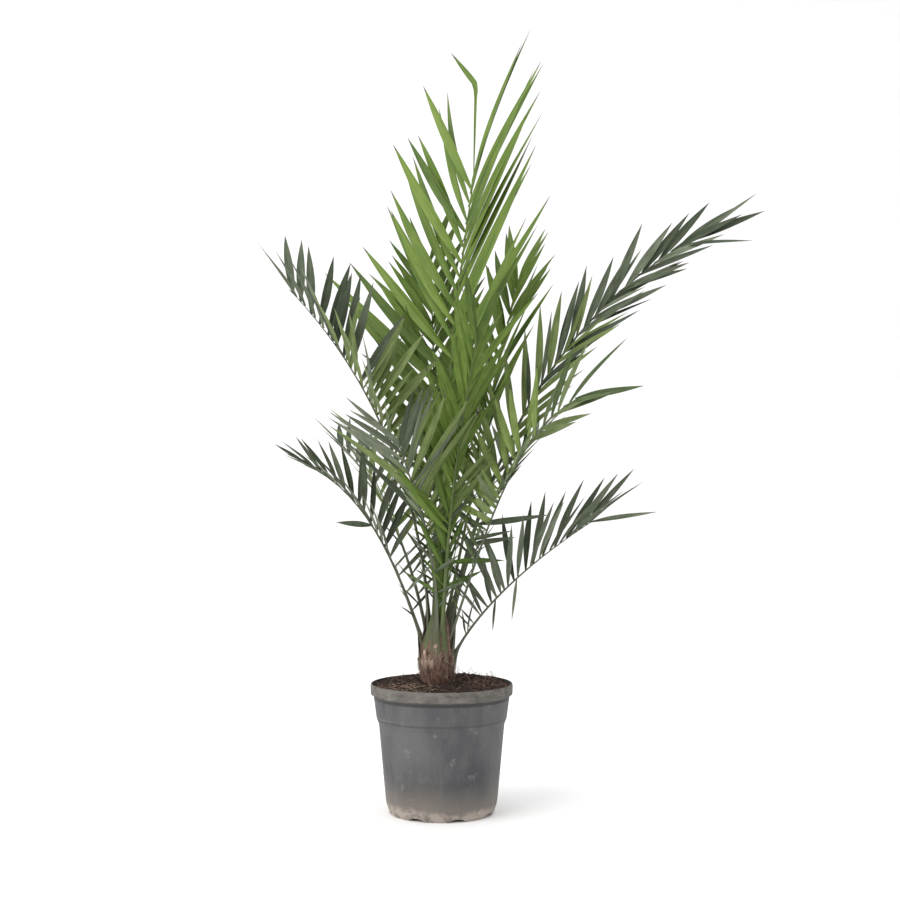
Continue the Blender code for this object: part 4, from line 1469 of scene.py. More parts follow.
@dataclass(frozen=True)
class Frond:
    """One frond. Angles are in degrees and lengths in metres; 0 heads to +X and 90 to +Y."""

    name: str
    foot: Triple
    heading: float
    lean: Pair
    length: float
    swing: float = 0.0
    bend: float = 1.2
    roll: Pair = (0.0, 0.0)
    petiole: float = 0.38
    pairs: int = 16
    spines: int = 4
    leaflet: float = 0.15
    width: float = 0.013
    spread: Pair = (64.0, 24.0)
    uneven: float = 0.0
    lift: Pair = (45.0, 30.0)
    unrest: Pair = (7.0, 12.0)
    rise: float = 0.2
    tip_share: float = 0.75
    thick: float = 0.0040
    young: bool = False
    snapped: bool = False
    seed: int = 1
    strays: tuple[tuple[float, ...], ...] = ()

    def stations(self) -> list[Station]:
        """Stations along a rib whose lean and heading change steadily from foot to tip.

        Returns:
            The stations in order.
        """
        stations: list[Station] = []
        point = Vector(self.foot)
        step = self.length / RIB_STEPS
        for index in range(RIB_STEPS + 1):
            share = index / RIB_STEPS
            lean = math.radians(mix(self.lean, share**self.bend))
            outward = heading_of(self.heading + self.swing * share)
            roll = math.radians(self.roll[0] + self.roll[1] * share)
            along = outward * math.sin(lean) + UP * math.cos(lean)
            face = UP * math.sin(lean) - outward * math.cos(lean)
            face = face * math.cos(roll) + along.cross(face) * math.sin(roll)
            if stations:
                point = point + (stations[-1].along + along) * (step / 2)
            stations.append(Station(share, point, along, face, along.cross(face)))
        return stations[::STEPS_PER_STATION]

    def half_width(self, share: float) -> float:
        """Half the rib's width at a share of it: a sheath at the foot, then a steady taper."""
        sheath = SHEATH_FLARE * (1.0 - smooth(share / SHEATH_SHARE))
        return self.thick * (1.0 - (1.0 - RIB_TIP_SHARE) * share**RIB_TAPER + sheath)

    def plain_rib(self, stations: Course) -> Shape:
        """The four-sided bar that stands for the rib when leaflets look for free space.

        Args:
            stations: The rib's stations.

        Returns:
            Vertices and faces.
        """
        vertices = []
        for at in stations:
            half = self.half_width(at.share)
            for sideways, outward in RIB_SECTION:
                vertices.append(at.point + at.side * (half * sideways) + at.face * (half * outward))
        last = 4 * (len(stations) - 1)
        faces = [(0, 1, 2, 3), (last, last + 1, last + 2, last + 3)]
        for low in range(0, last, 4):
            for corner in range(4):
                after = (corner + 1) % 4
                faces.append((low + corner, low + after, low + after + 4, low + corner + 4))
        return vertices, faces

    def plans(self) -> list[tuple[float, int, float, float, float, float, bool, float]]:
        """Where leaflets should go.

        Returns:
            For each leaflet its share of the rib, side, spread, lift, length, width, snapped and row.
        """
        dice = Dice(self.seed)
        plans = []
        for index in range(self.pairs):
            for side in (-1, 1):
                shift, opened, raised, longer = (dice.uniform(-1.0, 1.0) for _ in range(4))
                row = (index + 0.5 + ROW_STAGGER * side + ROW_UNREST * shift) / self.pairs
                share = min(mix((self.petiole, 1.0), row), LAST_SHARE)
                rise = smooth(row / self.rise)
                fall = 1.0 - (1.0 - self.tip_share) * smooth((row - FALL_FROM) / (1.0 - FALL_FROM))
                spread = mix(self.spread, row) + self.uneven * side + self.unrest[0] * opened
                lift = mix(self.lift, row) + self.unrest[1] * raised
                length = self.leaflet * mix((FIRST_LENGTH, 1.0), rise) * fall * (1.0 + LENGTH_UNREST * longer)
                width = self.width * mix((FIRST_WIDTH, 1.0), rise) * mix((1.0 - FALL_THINNER, 1.0), fall)
                plans.append((share, side, spread, lift, length, width, False, row))
        for index in range(self.spines):
            for side in (-1, 1):
                shift, opened, raised, longer = (dice.uniform(-1.0, 1.0) for _ in range(4))
                row = (index + 0.5 + ROW_STAGGER * side + SPINE_ROW_UNREST * shift) / self.spines
                share = mix((FIRST_SPINE, self.petiole), row)
                spread = SPINE_SPREAD[0] + SPINE_SPREAD[1] * opened
                lift = SPINE_LIFT[0] + SPINE_LIFT[1] * raised
                length = mix(SPINE_LENGTH, row) * (1.0 + SPINE_LENGTH_UNREST * longer)
                plans.append((share, side, spread, lift, length, mix(SPINE_WIDTH, row), False, SPINE_ROW))
        plans += [(*stray, False, STRAY_ROW) for stray in self.strays]
        if self.snapped:
            width = self.width * SNAPPED_WIDTH
            plans.append((LAST_SHARE, -1, SNAPPED_SPREAD, SNAPPED_LIFT, SNAPPED_LENGTH, width, True, 1.0))
        return plans

    def grown(self, stations: Course, obstacles: Sequence[BVHTree]) -> list[Leaflet]:
        """The frond's leaflets. One that would touch another frond swings aside, is shorter or is skipped.

        Args:
            stations: The frond's own rib.
            obstacles: Search trees over everything that is in the way.

        Returns:
            The leaflets that found room.
        """
        leaflets = []
        for share, side, spread, lift, length, width, snapped, row in self.plans():
            at = station_at(stations, share)
            for shorter in SHORTER:
                for opened, raised in SWINGS:
                    ways = aimed(at, side, math.radians(spread + opened), math.radians(lift + raised))
                    leaflet = Leaflet(at.point, *ways, length * shorter, width, snapped, row)
                    tree = BVHTree.FromPolygons(*leaflet.plain(LEAF_MARGIN))
                    if not any(tree.overlap(other) for other in obstacles):
                        break
                else:
                    continue
                leaflets.append(leaflet)
                break
        return leaflets

    def between(self, stations: Course) -> list[Leaflet]:
        """Narrower, shorter leaflets in the gaps of the frond's inner rows, where a real one is thickest.

        Args:
            stations: The frond's own rib.

        Returns:
            The narrow leaflets.
        """
        dice = Dice(self.seed + 500)
        half_row = (1.0 - self.petiole) / self.pairs / 2.0
        leaflets = []
        for share, side, spread, lift, length, width, _, row in self.plans()[: 2 * self.pairs]:
            opened = dice.uniform(-BETWEEN_SPREAD, BETWEEN_SPREAD)
            raised = dice.uniform(-BETWEEN_LIFT, BETWEEN_LIFT)
            shorter, narrower = dice.uniform(*BETWEEN_LENGTH), dice.uniform(*BETWEEN_WIDTH)
            if dice.random() > BETWEEN_CHANCE or row > BETWEEN_ROWS:
                continue
            at = station_at(stations, share + half_row)
            ways = aimed(at, side, math.radians(spread + opened), math.radians(lift + raised))
            leaflets.append(Leaflet(at.point, *ways, length * shorter, width * narrower, False, row))
        return leaflets


def station_at(stations: Course, share: float) -> Station:
    """The station at any share of the rib, between its neighbours.

    Args:
        stations: The rib's stations.
        share: The share of the rib.

    Returns:
        The station.
    """
    place = min(share, 0.9999) * (len(stations) - 1)
    low, high = stations[int(place)], stations[int(place) + 1]
    part = place - int(place)
    along = low.along.lerp(high.along, part).normalized()
    face = low.face.lerp(high.face, part)
    face = (face - along * face.dot(along)).normalized()
    return Station(share, low.point.lerp(high.point, part), along, face, along.cross(face))


def aimed(at: Station, side: int, spread: float, lift: float) -> tuple[Vector, Vector, Vector]:
    """The directions of a leaflet on one side of the rib.

    Args:
        at: Where it is rooted.
        side: 1 or -1.
        spread: The angle between the rib and the leaflet.
        lift: The angle that it is raised out of the rib's plane.

    Returns:
        The directions along it, across it and out of it.
    """
    outward = at.side * (side * math.cos(lift)) + at.face * math.sin(lift)
    along = at.along * math.cos(spread) + outward * math.sin(spread)
    across = (at.along - along * at.along.dot(along)).normalized()
    upward = along.cross(across)
    if upward.dot(at.face) < 0.0:
        upward = -upward
    return along, across, upward


def tree_of(shapes: Iterable[Shape]) -> BVHTree:
    """One search tree over several solids.

    Args:
        shapes: The solids' points and faces.

    Returns:
        The tree.
    """
    vertices: list[Vector] = []
    faces: list[tuple[int, ...]] = []
    for points, corners in shapes:
        faces += [tuple(len(vertices) + index for index in face) for face in corners]
        vertices += points
    return BVHTree.FromPolygons(vertices, faces)


def shape_of_node(name: str) -> Shape:
    """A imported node's vertices and faces."""
    mesh = frame["nodes"][name].data
    return [vertex.co.copy() for vertex in mesh.vertices], [tuple(face.vertices) for face in mesh.polygons]


MIDDLE_AGED = ("frond_right_mid",)  # Fronds whose green lies between the young ones' and the old ones'
GREY_THROUGHOUT = ("frond_left_lower", "frond_right_lower")
SUNLIT = ("frond_back_right",)  # Young fronds whose inner leaflets are the brightest
THICK = (  # Fronds with narrow leaflets between the others
    "frond_back_left", "frond_back_right", "frond_inner", "frond_left_front",
    "frond_left_upper", "frond_right_mid", "frond_right_upper",
)
FRONDS = (
    Frond(
        name="frond_centre", foot=(-0.0080, 0.0030, 0.285), heading=70.5, lean=(1.8, 17.1), length=0.819,
        swing=-10.7, bend=0.8, roll=(-6.4, -22), petiole=0.412, pairs=17, spines=6, leaflet=0.330,
        width=0.0215, spread=(45.4, 32.7), uneven=-1.0, lift=(11.1, 0.8), unrest=(6, 10), rise=0.15,
        tip_share=0.88, thick=0.0060, young=True, snapped=True, seed=74,
    ),
    Frond(
        name="frond_right_upper", foot=(0.0050, 0.0035, 0.280), heading=17.1, lean=(12.7, 60.1), length=0.839,
        swing=-11, bend=1.45, roll=(52.6, 11.8), petiole=0.229, pairs=18, spines=2, leaflet=0.142,
        width=0.0150, spread=(49.3, 8.0), uneven=2.0, lift=(58.8, -0.9), tip_share=0.99, thick=0.0046, seed=264,
        strays=(
            (0.25, 1, 66, 0, 0.128, 0.0120),
            (0.208, 1, 66, 0, 0.081, 0.0100),
            (0.979, 1, 44, 27, 0.129, 0.0105),
            (0.833, 1, 24, -27, 0.115, 0.0105),
            (0.985, -1, 4, 24, 0.158, 0.0080),
        ),
    ),
    Frond(
        name="frond_left_upper", foot=(-0.0200, 0.0060, 0.286), heading=173, lean=(1.5, 45.2), length=0.663,
        swing=-8, bend=1.08, roll=(-30.1, 13.3), petiole=0.406, pairs=16, leaflet=0.148, width=0.0170,
        spread=(75.9, 34.3), lift=(44.4, 50.7), tip_share=0.77, seed=180,
    ),
    Frond(
        name="frond_right_lower", foot=(0.0174, 0.0000, 0.2551), heading=3, lean=(15, 58), length=0.340,
        bend=0.4, roll=(0, 12), petiole=0.17, pairs=13, spines=1, leaflet=0.128, width=0.0130,
        spread=(88, 12), lift=(65, 34), rise=0.3, tip_share=1.0, seed=30,
        strays=(
            (0.98, 1, 30, -33, 0.115, 0.0110),
            (0.52, 1, 138, -60, 0.073, 0.0060),
            (0.375, 1, 140, -60, 0.057, 0.0050),
        ),
    ),
    Frond(
        name="frond_left_lower", foot=(-0.0263, -0.0020, 0.2687), heading=156.2, lean=(20, 71.8), length=0.394,
        swing=60, bend=2.6, roll=(-35.4, 1.2), petiole=0.359, pairs=15, spines=3, leaflet=0.107, width=0.0125,
        spread=(53.8, 13.3), uneven=8.6, lift=(52.7, 12.0), tip_share=0.64, seed=391,
        strays=((0.59, -1, 52, -40, 0.064, 0.0115),),
    ),
    Frond(
        name="frond_right_mid", foot=(0.0075, -0.0055, 0.2726), heading=-23.3, lean=(19.5, 62), length=0.488,
        bend=3.5, roll=(29.2, 15.4), petiole=0.397, pairs=15, spines=3, leaflet=0.140, width=0.0160,
        spread=(87.2, 31.2), uneven=-0.7, lift=(36.7, 1.3), tip_share=1.01, seed=363,
    ),
    Frond(
        name="frond_left_front", foot=(-0.0094, -0.0165, 0.2817), heading=204.3, lean=(-4.1, 62), length=0.395,
        swing=60, bend=1.31, roll=(1.1, 18.4), petiole=0.363, pairs=14, spines=3, leaflet=0.195, width=0.0150,
        spread=(61, 24.6), lift=(38.8, 15.9), tip_share=0.68, seed=76,
    ),
    Frond(
        name="frond_back_right", foot=(-0.0005, 0.0150, 0.285), heading=34, lean=(15, 33), length=0.664,
        swing=27, bend=3.5, petiole=0.32, pairs=16, spines=3, leaflet=0.190, width=0.0180,
        spread=(50, 18), lift=(30, 16), tip_share=0.7, young=True, seed=6,
    ),
    Frond(
        name="frond_back_left", foot=(-0.0125, 0.0145, 0.285), heading=88, lean=(9, 27), length=0.700,
        swing=8, petiole=0.30, pairs=16, spines=3, leaflet=0.180, width=0.0180,
        spread=(48, 18), lift=(28, 14), tip_share=0.7, young=True, seed=5,
    ),
    Frond(
        name="frond_inner", foot=(0.0006, -0.0120, 0.281), heading=-62, lean=(5, 24), length=0.520,
        petiole=0.16, pairs=16, spines=1, leaflet=0.165, width=0.0170, spread=(34, 17), lift=(34, 20),
        young=True, seed=12,
        strays=(
            (0.27, -1, 74, -8, 0.104, 0.0110),
            (0.19, -1, 66, -4, 0.082, 0.0100),
        ),
    ),
    Frond(
        name="frond_rear_left", foot=(-0.0200, 0.0160, 0.268), heading=125, lean=(18, 66), length=0.460,
        petiole=0.34, pairs=12, spines=2, leaflet=0.125, seed=21,
    ),
    Frond(
        name="frond_rear", foot=(-0.0080, 0.0200, 0.268), heading=92, lean=(16, 58), length=0.560,
        petiole=0.36, pairs=14, spines=2, leaflet=0.135, seed=22,
    ),
    Frond(
        name="frond_rear_right", foot=(0.0070, 0.0165, 0.268), heading=55, lean=(18, 64), length=0.480,
        petiole=0.34, pairs=12, spines=2, leaflet=0.125, seed=23,
    ),
)


@dataclass
class Fronds:
    """All fronds: their ribs, sheaths and the leaflets that found room."""

    leaf_steps: int = 16
    leaf_sides: int = 8
    leaf_thickness: float = 0.055
    leaf_folds: Pair = (44.0, 8.0)
    rib_steps: int = 64
    rib_sides: int = 14
    rib_depth: float = 0.78
    rib_channel: float = 0.55
    dry_from: float = 0.93
    greens_shares: tuple[int, int, int] = (3, 4, 3)
    heart_rows: float = 0.85  # Rows up to which leaflets may take the heart's green
    heart_share: float = 0.95
    heart_x: float = 0.025
    # Leaflets within this reach of the heart take its brighter green partly as painted light, standing for
    # light shining through them
    heart_reach: float = 0.26  # Distance from the heart within which leaflets may take its green too
    heart_strength: float = 1.25
    heart_measured_at: float = 0.6
    shaded_below: float = 0.50  # Height under which leaflets between the petioles lose their bright green
    sheath_steps: int = 12
    sheath_drop: float = 0.30  # How far a sheath reaches down the stem, as a share of the stem's height
    sheath_lowest: float = 0.05
    sheath_proud: Pair = (0.0022, 0.0034)
    sheath_top: float = 0.10  # Share of the rib where its sheath ends
    sheath_half: float = 0.0098
    sheath_end_share: float = 0.8
    sheath_thickness: float = 0.20
    sheath_folds: Pair = (-34.0, -14.0)

    def build(self) -> list[Object]:
        """Grows every frond, in the order of FRONDS: the first ones take their space first.

        Returns:
            The fronds' pieces.
        """
        rows = (YOUNG_LEAVES, MIDDLE_LEAVES, OLD_LEAVES)
        young, middle, old = ([finish.material() for finish in row] for row in rows)
        dry, young_rib, old_rib = DRY_TIP.material(), YOUNG_RIB.material(), OLD_RIB.material()
        still = [tree_of([shape_of_node(name)]) for name in ("stem", "soil", "pot")]
        courses = [frond.stations() for frond in FRONDS]
        green_sheath, grey_sheath = YOUNG_SHEATH.material(), OLD_SHEATH.material()
        rib_trees = [tree_of([frond.plain_rib(course)]) for frond, course in zip(FRONDS, courses)]
        blades: list[BVHTree] = []
        pieces = []
        for index, (frond, course) in enumerate(zip(FRONDS, courses)):
            other_ribs = rib_trees[:index] + rib_trees[index + 1 :]
            leaflets = frond.grown(course, still + other_ribs + blades)
            blades.append(tree_of([leaflet.plain() for leaflet in leaflets]))
            if frond.name in THICK:
                leaflets += frond.between(course)
            greens = young if frond.young else middle if frond.name in MIDDLE_AGED else old
            pieces.append(self.leaflets(frond, leaflets, [*greens, dry]))
            pieces.append(self.rib(frond, course, young_rib if frond.young else old_rib))
            pieces.append(self.sheath(frond, course, green_sheath if frond.young else grey_sheath))
        return pieces

    def leaflets(self, frond: Frond, leaflets: Sequence[Leaflet], tints: Sequence[Material]) -> Object:
        """One frond's leaflets, each with its fold, its bend and one of the four greens.

        Args:
            frond: The frond.
            leaflets: Its leaflets.
            tints: The four greens and the dry tip's material.

        Returns:
            The finished piece.
        """
        dice = Dice(frond.seed + 1000)
        paths = []
        for number, leaflet in enumerate(leaflets):
            tint = self.tint_of(frond, leaflet, dice)
            paths.append(leaflet.path(dice, self.leaf_steps, tint, float(number)))
        piece = swept(
            frond.name + "_leaflets", paths, self.leaf_sides, self.leaf_thickness, self.leaf_folds, tints,
            dry_from=self.dry_from,
        )
        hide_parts(frond.name)
        return piece

    def tint_of(self, frond: Frond, leaflet: Leaflet, dice: Dice) -> int:
        """Picks one of a frond's four greens; near the palm's heart that is mostly the fourth.

        Args:
            frond: The frond.
            leaflet: The leaflet.
            dice: Where the choice comes from.

        Returns:
            The green's number.
        """
        # Near the heart the fourth, brighter green is partly painted light: it stands for light shining through
        # the leaflets
        middle = leaflet.root + leaflet.along * (leaflet.length * self.heart_measured_at)
        away = math.hypot(middle.x - self.heart_x, middle.y)
        near = min(smooth(1.0 - away / self.heart_reach) * self.heart_strength, 1.0)
        heart = max(smooth(1.0 - leaflet.row / self.heart_rows), near) * self.heart_share
        if frond.name in GREY_THROUGHOUT:
            heart = 0.0
        elif middle.z < self.shaded_below:
            return 2 if frond.young else 1
        if dice.random() < heart:
            return 0 if frond.name in SUNLIT else 3
        return dice.choices((0, 1, 2), self.greens_shares)[0]

    def rib(self, frond: Frond, stations: Course, finish: Material) -> Object:
        """One frond's rib: round-backed and channelled on its upper face.

        Args:
            frond: The frond.
            stations: Its stations.
            finish: The rib's material.

        Returns:
            The finished piece.
        """
        path = path_of(
            self.rib_steps, lambda share: station_at(stations, share).point, frond.half_width,
            lambda share: station_at(stations, share).face, 0, float(frond.seed),
        )
        piece = swept(
            frond.name + "_rib", [path], self.rib_sides, self.rib_depth, (0.0, 0.0), (finish,),
            channel=self.rib_channel,
        )
        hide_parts(frond.name)
        return piece

    def sheath(self, frond: Frond, stations: Course, finish: Material) -> Object:
        """The broad base by which a frond clasps the stem, from below its foot up into its rib.

        Args:
            frond: The frond.
            stations: Its stations.
            finish: The sheath's material.

        Returns:
            The finished piece.
        """
        stem, foot = Stem(), Vector(frond.foot)
        turn = math.degrees(math.atan2(foot.y, foot.x - stem.centre_x))
        knee_at = (foot.z - stem.base) / stem.height
        low = stem.at(turn, max(knee_at - self.sheath_drop, self.sheath_lowest), self.sheath_proud[0])
        knee = stem.at(turn, knee_at, self.sheath_proud[1])
        high = station_at(stations, self.sheath_top)
        ends = (self.sheath_half, frond.half_width(self.sheath_top) * self.sheath_end_share)
        path = path_of(
            self.sheath_steps, lambda share: arc_through(low, knee, high.point, share),
            lambda share: mix(ends, smooth(share)) * mix((0.35, 1.0), smooth(share / 0.16)),
            lambda share: heading_of(turn).lerp(-high.face, share), 0, float(frond.seed + 50),
        )
        piece = swept(
            frond.name + "_sheath", [path], self.rib_sides, self.sheath_thickness, self.sheath_folds,
            (finish,),
        )
        return piece


# --- stem ---


@dataclass
class Heart:
    """The fronds that have not opened yet: folded green spears between the living petioles."""

    count: int = 26
    steps: int = 14
    centre_x: float = -0.003
    foot_height: float = 0.293
    foot_reach: float = 0.010
    length: Pair = (0.120, 0.290)
    half: Pair = (0.0034, 0.0058)
    headings: Pair = (-95.0, 45.0)
    lean: Pair = (0.02, 0.20)
    turn: float = 35.0
    tints: tuple[int, ...] = (1, 2, 2, 3)
    thickness: float = 0.10
    folds: Pair = (-58.0, -50.0)
    seed: int = 31

    def _spear(self, number: int, dice: Dice) -> Path:
        """One spear; every fourth one heads anywhere, and the others to the front and the right.

        Args:
            number: Its number.
            dice: The draws.

        Returns:
            Its path.
        """
        heading = dice.uniform(*self.headings) if number % 4 else dice.uniform(0.0, 360.0)
        out = heading_of(heading)
        foot = Vector((self.centre_x, 0.0, self.foot_height)) + out * dice.uniform(0.0, self.foot_reach)
        length, half, lean = dice.uniform(*self.length), dice.uniform(*self.half), dice.uniform(*self.lean)
        face = heading_of(heading + dice.uniform(-self.turn, self.turn))
        return path_of(
            self.steps, lambda share: foot + (UP + out * (lean * share)) * (length * share),
            lambda share: half * mix((0.75, 1.0), smooth(share / 0.4)) * max(1.0 - share**2.4, 0.03),
            face, dice.choice(self.tints), float(number),
        )

    def build(self) -> Object:
        """Builds the spears as one piece.

        Returns:
            The finished piece.
        """
        dice = Dice(self.seed)
        paths = bunch(self.count, dice, self._spear)
        finishes = [finish.material() for finish in YOUNG_LEAVES]
        piece = swept("heart_spears", paths, 10, self.thickness, self.folds, finishes)
        return piece


@dataclass
class Stem:
    """The short swollen stem, wrapped in matted fibre and the cut bases of old fronds."""

    centre_x: float = -0.008
    base: float = 0.2183
    radius: float = 0.0290
    height: float = 0.094
    profile: tuple[Pair, ...] = (
        (0.76, 0.0), (0.88, 0.12), (0.97, 0.32), (0.91, 0.54),
        (0.80, 0.72), (0.66, 0.86), (0.44, 0.96), (0.0, 1.0),
    )
    rows: int = 60
    segments: int = 120
    stub_count: int = 7
    stub_length: float = 0.026
    stub_lean: float = 0.22
    first_stub: float = 170.0
    first_stub_longer: float = 1.7
    golden_turn: float = 137.5
    scale_count: int = 22
    scales_all_round: int = 16  # The other scales stand at the front, on the left
    strand_count: int = 900
    tuft_count: int = 110
    front_tufts: int = 60
    sheath_count: int = 13
    first_sheath: float = 250.0
    seed: int = 8

    def radius_at(self, height: float) -> float:
        """The stem's radius at a share of its height, which is 0 above it.

        Args:
            height: The share of the stem's height.

        Returns:
            The radius there.
        """
        for (low_radius, low), (high_radius, high) in zip(self.profile, self.profile[1:]):
            if height <= high:
                part = (height - low) / (high - low)
                return self.radius * mix((low_radius, high_radius), max(part, 0.0))
        return 0.0

    def core(self, height: float) -> Vector:
        """The point of the stem's axis at a share of its height."""
        return Vector((self.centre_x, 0.0, self.base + height * self.height))

    def at(self, heading: float, height: float, proud: float = 0.0) -> Vector:
        """A point on the stem's skin, or this far out of it."""
        return self.core(height) + heading_of(heading) * (self.radius_at(height) + proud)

    def bole(self) -> Object:
        """The stem's body with the relief of its overlapping leaf bases.

        Returns:
            The finished piece.
        """
        rings = []
        for row in range(self.rows):
            share = row / self.rows
            rings.append((max(self.radius_at(share), 0.0002), self.base + self.height * share))
        ends = [(0.0, self.base), (0.0, self.base + self.height)]
        vertices, faces = turned([ends[0], *rings, ends[1]], self.segments)
        for vertex in vertices:
            if vertex.xy.length < 0.001:
                continue
            out = Vector((vertex.x, vertex.y, 0.0)).normalized()
            share = (vertex.z - self.base) / self.height
            strand = noise.noise(Vector((out.x * 9.0, out.y * 9.0, share * 5.0)))
            knots = noise.fractal(Vector((out.x * 3.0, out.y * 3.0, share * 9.0)), 1.0, 2.0, 4)
            vertex += out * (0.0011 * strand + 0.0016 * knots)
        vertices = [vertex + Vector((self.centre_x, 0.0, 0.0)) for vertex in vertices]
        bole = placed("stem_bole", mesh_of("stem_bole", (vertices, faces)), RED_FIBRE.material())
        smoothed(bole, 50.0)
        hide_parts("stem")
        return bole

    def _stub(self, index: int, dice: Dice) -> Path:
        """The cut base of one old frond, which clasps the stem and ends in a blunt tip.

        Args:
            index: Its number.
            dice: The draws.

        Returns:
            Its path.
        """
        length = self.stub_length * dice.uniform(0.75, 1.05) * (1.0 if index else self.first_stub_longer)
        width = dice.uniform(0.008, 0.010)
        outward = heading_of(self.first_stub + self.golden_turn * index)
        foot = Vector((self.centre_x, 0.0, self.base + 0.004 + 0.0035 * index))
        foot += outward * (self.radius * 0.86)
        return path_of(
            8, lambda share: foot + UP * (length * share) + outward * (length * self.stub_lean * share**1.3),
            lambda share: width * mix((1.0, 0.28), share**1.6), outward, dice.randrange(3), float(index),
        )

    def _scale(self, index: int, dice: Dice) -> Path:
        """A shorter scale that lies against the stem: most stand all round, the last ones at the front.

        Args:
            index: Its number.
            dice: The draws.

        Returns:
            Its path.
        """
        around = index < self.scales_all_round
        if around:
            angle = 30.0 + 222.5 * index + dice.uniform(-14.0, 14.0)
            height = mix((0.02, 0.55), index / (self.scales_all_round - 1))
        else:
            angle, height = dice.uniform(212.0, 262.0), dice.uniform(0.22, 0.46)
        length = dice.uniform(0.014, 0.024)
        widths = [dice.uniform(0.0052, 0.0072) for _ in range(9)]
        proud = 0.0022 if around else 0.0042
        return path_of(
            8, lambda share: self.at(
                angle + 6.0 * share, height + length / self.height * share, 0.0004 + proud * share
            ),
            lambda share: widths[round(8 * share)] * mix((1.0, 0.34), share**3.0), heading_of(angle),
            dice.randrange(3) if around else 1, float(index + 20),
        )

    def stubs(self) -> Object:
        """The cut bases of old fronds and the scales between them.

        Returns:
            The finished piece.
        """
        dice = Dice(self.seed)
        paths = bunch(self.stub_count, dice, self._stub) + bunch(self.scale_count, dice, self._scale)
        tints = (STUB_SKIN.material(), TAN_FIBRE.material(), RED_FIBRE.material())
        piece = swept("stem_stubs", paths, 12, 0.30, (-32.0, -12.0), tints)
        return piece

    def _strand(self, number: int, dice: Dice) -> Path:
        """One fine strand of matted fibre that climbs the stem at a slant.

        Args:
            number: Its number.
            dice: The draws.

        Returns:
            Its path.
        """
        angle, low = dice.uniform(0.0, 360.0), dice.uniform(0.0, 0.48)
        rise, slant = dice.uniform(0.08, 0.26), dice.uniform(-42.0, 42.0)
        proud = dice.uniform(0.0004, 0.0022 if number % 2 else 0.0058)
        half = 0.00030 * (1.0 + 0.6 * (number % 3 == 0))
        return path_of(
            6, lambda share: self.at(
                angle + slant * share, min(low + rise * share, 0.97), proud + 0.0016 * share**3
            ),
            lambda share: half * (1.0 - 0.75 * share), lambda share: heading_of(angle + slant * share),
            dice.choices((0, 1, 2), (4, 4, 2))[0], float(number),
        )

    def _tuft(self, number: int, dice: Dice) -> Path:
        """A flat strip of fibre that stands up between the sheaths, mostly at the front.

        Args:
            number: Its number.
            dice: The draws.

        Returns:
            Its path.
        """
        angle = dice.gauss(-38.0, 9.0) if number < self.front_tufts else dice.uniform(-20.0, 190.0)
        out = heading_of(angle)
        foot = self.at(angle, dice.uniform(0.45, 0.72), 0.0016)
        length = dice.uniform(0.018, 0.060)
        drift = heading_of(angle + 90.0) * dice.uniform(-0.10, 0.10)
        widths = [dice.uniform(0.0004, 0.0010) for _ in range(8)]
        return path_of(
            7, lambda share: foot + (UP + drift * share - out * 0.22 * share) * (length * share),
            lambda share: widths[round(7 * share)] * (1.0 - 0.8 * share), out,
            dice.choices((0, 1), (2, 3))[0], float(number + 2000),
        )

    def strands(self) -> Object:
        """Matted fibre: fine strands round the stem, and tufts between the sheaths.

        Returns:
            The finished piece.
        """
        dice = Dice(self.seed + 1)
        paths = bunch(self.strand_count, dice, self._strand) + bunch(self.tuft_count, dice, self._tuft)
        tints = (TAN_FIBRE.material(), RED_FIBRE.material(), DARK_FIBRE.material())
        piece = swept("stem_strands", paths, 4, 0.45, (0.0, 0.0), tints)
        return piece

    def _old_sheath(self, number: int, dice: Dice) -> Path:
        """The green base left by one earlier frond.

        Args:
            number: Its number.
            dice: The draws.

        Returns:
            Its path.
        """
        angle = self.first_sheath + self.golden_turn * number
        out = heading_of(angle)
        low = mix((0.34, 0.58), number / self.sheath_count) + dice.uniform(-0.04, 0.04)
        foot = self.at(angle, low, 0.0016)
        knee = self.at(angle, 0.78, 0.0030)
        top = self.core(dice.uniform(1.15, 1.50)) + out * dice.uniform(0.004, 0.008)
        half = dice.uniform(0.0085, 0.0108)
        return path_of(
            14, lambda share: arc_through(foot, knee, top, share),
            lambda share: half * mix((0.45, 1.0), smooth(share / 0.18)) * mix((1.0, 0.10), share**1.7),
            out, number % 2, float(number),
        )

    def old_sheaths(self) -> Object:
        """The green bases left by earlier fronds, wrapped round the upper stem under the living ones.

        Returns:
            The finished piece.
        """
        dice = Dice(self.seed + 2)
        paths = bunch(self.sheath_count, dice, self._old_sheath)
        tints = (OLD_SHEATH.material(), YOUNG_SHEATH.material())
        piece = swept("stem_sheaths", paths, 14, 0.20, (-34.0, -16.0), tints)
        return piece

    def build(self) -> list[Object]:
        """Builds the stem's pieces."""
        return [self.bole(), self.stubs(), self.old_sheaths(), self.strands()]


# --- studio ---


@dataclass(frozen=True)
class FloorFinish:
    """Plain pale studio paper."""

    name: str = "studio_paper"
    white: Colour = (0.93, 0.93, 0.93)

    def material(self) -> Material:
        """Builds the material.

        Returns:
            The material.
        """
        made = Surface(self.name, 0.9, specular=0.1)
        made.shader.inputs["Base Color"].default_value = rgba(self.white)
        return made.material


@dataclass(frozen=True)
class Lamp:
    """A square soft light that faces the plant."""

    name: str
    place: Triple
    size: float
    power: float
    colour: Colour
    aim: Triple = (0.0, 0.0, 0.6)

    def build(self) -> None:
        """Hangs the light."""
        data = bpy.data.lights.new(self.name, "AREA")
        data.shape, data.size, data.energy, data.color = "SQUARE", self.size, self.power, self.colour
        lamp = bpy.data.objects.new(self.name, data)
        lamp.location = self.place
        lamp.rotation_euler = (Vector(self.aim) - Vector(self.place)).to_track_quat("-Z", "Y").to_euler()
        bpy.context.scene.collection.objects.link(lamp)


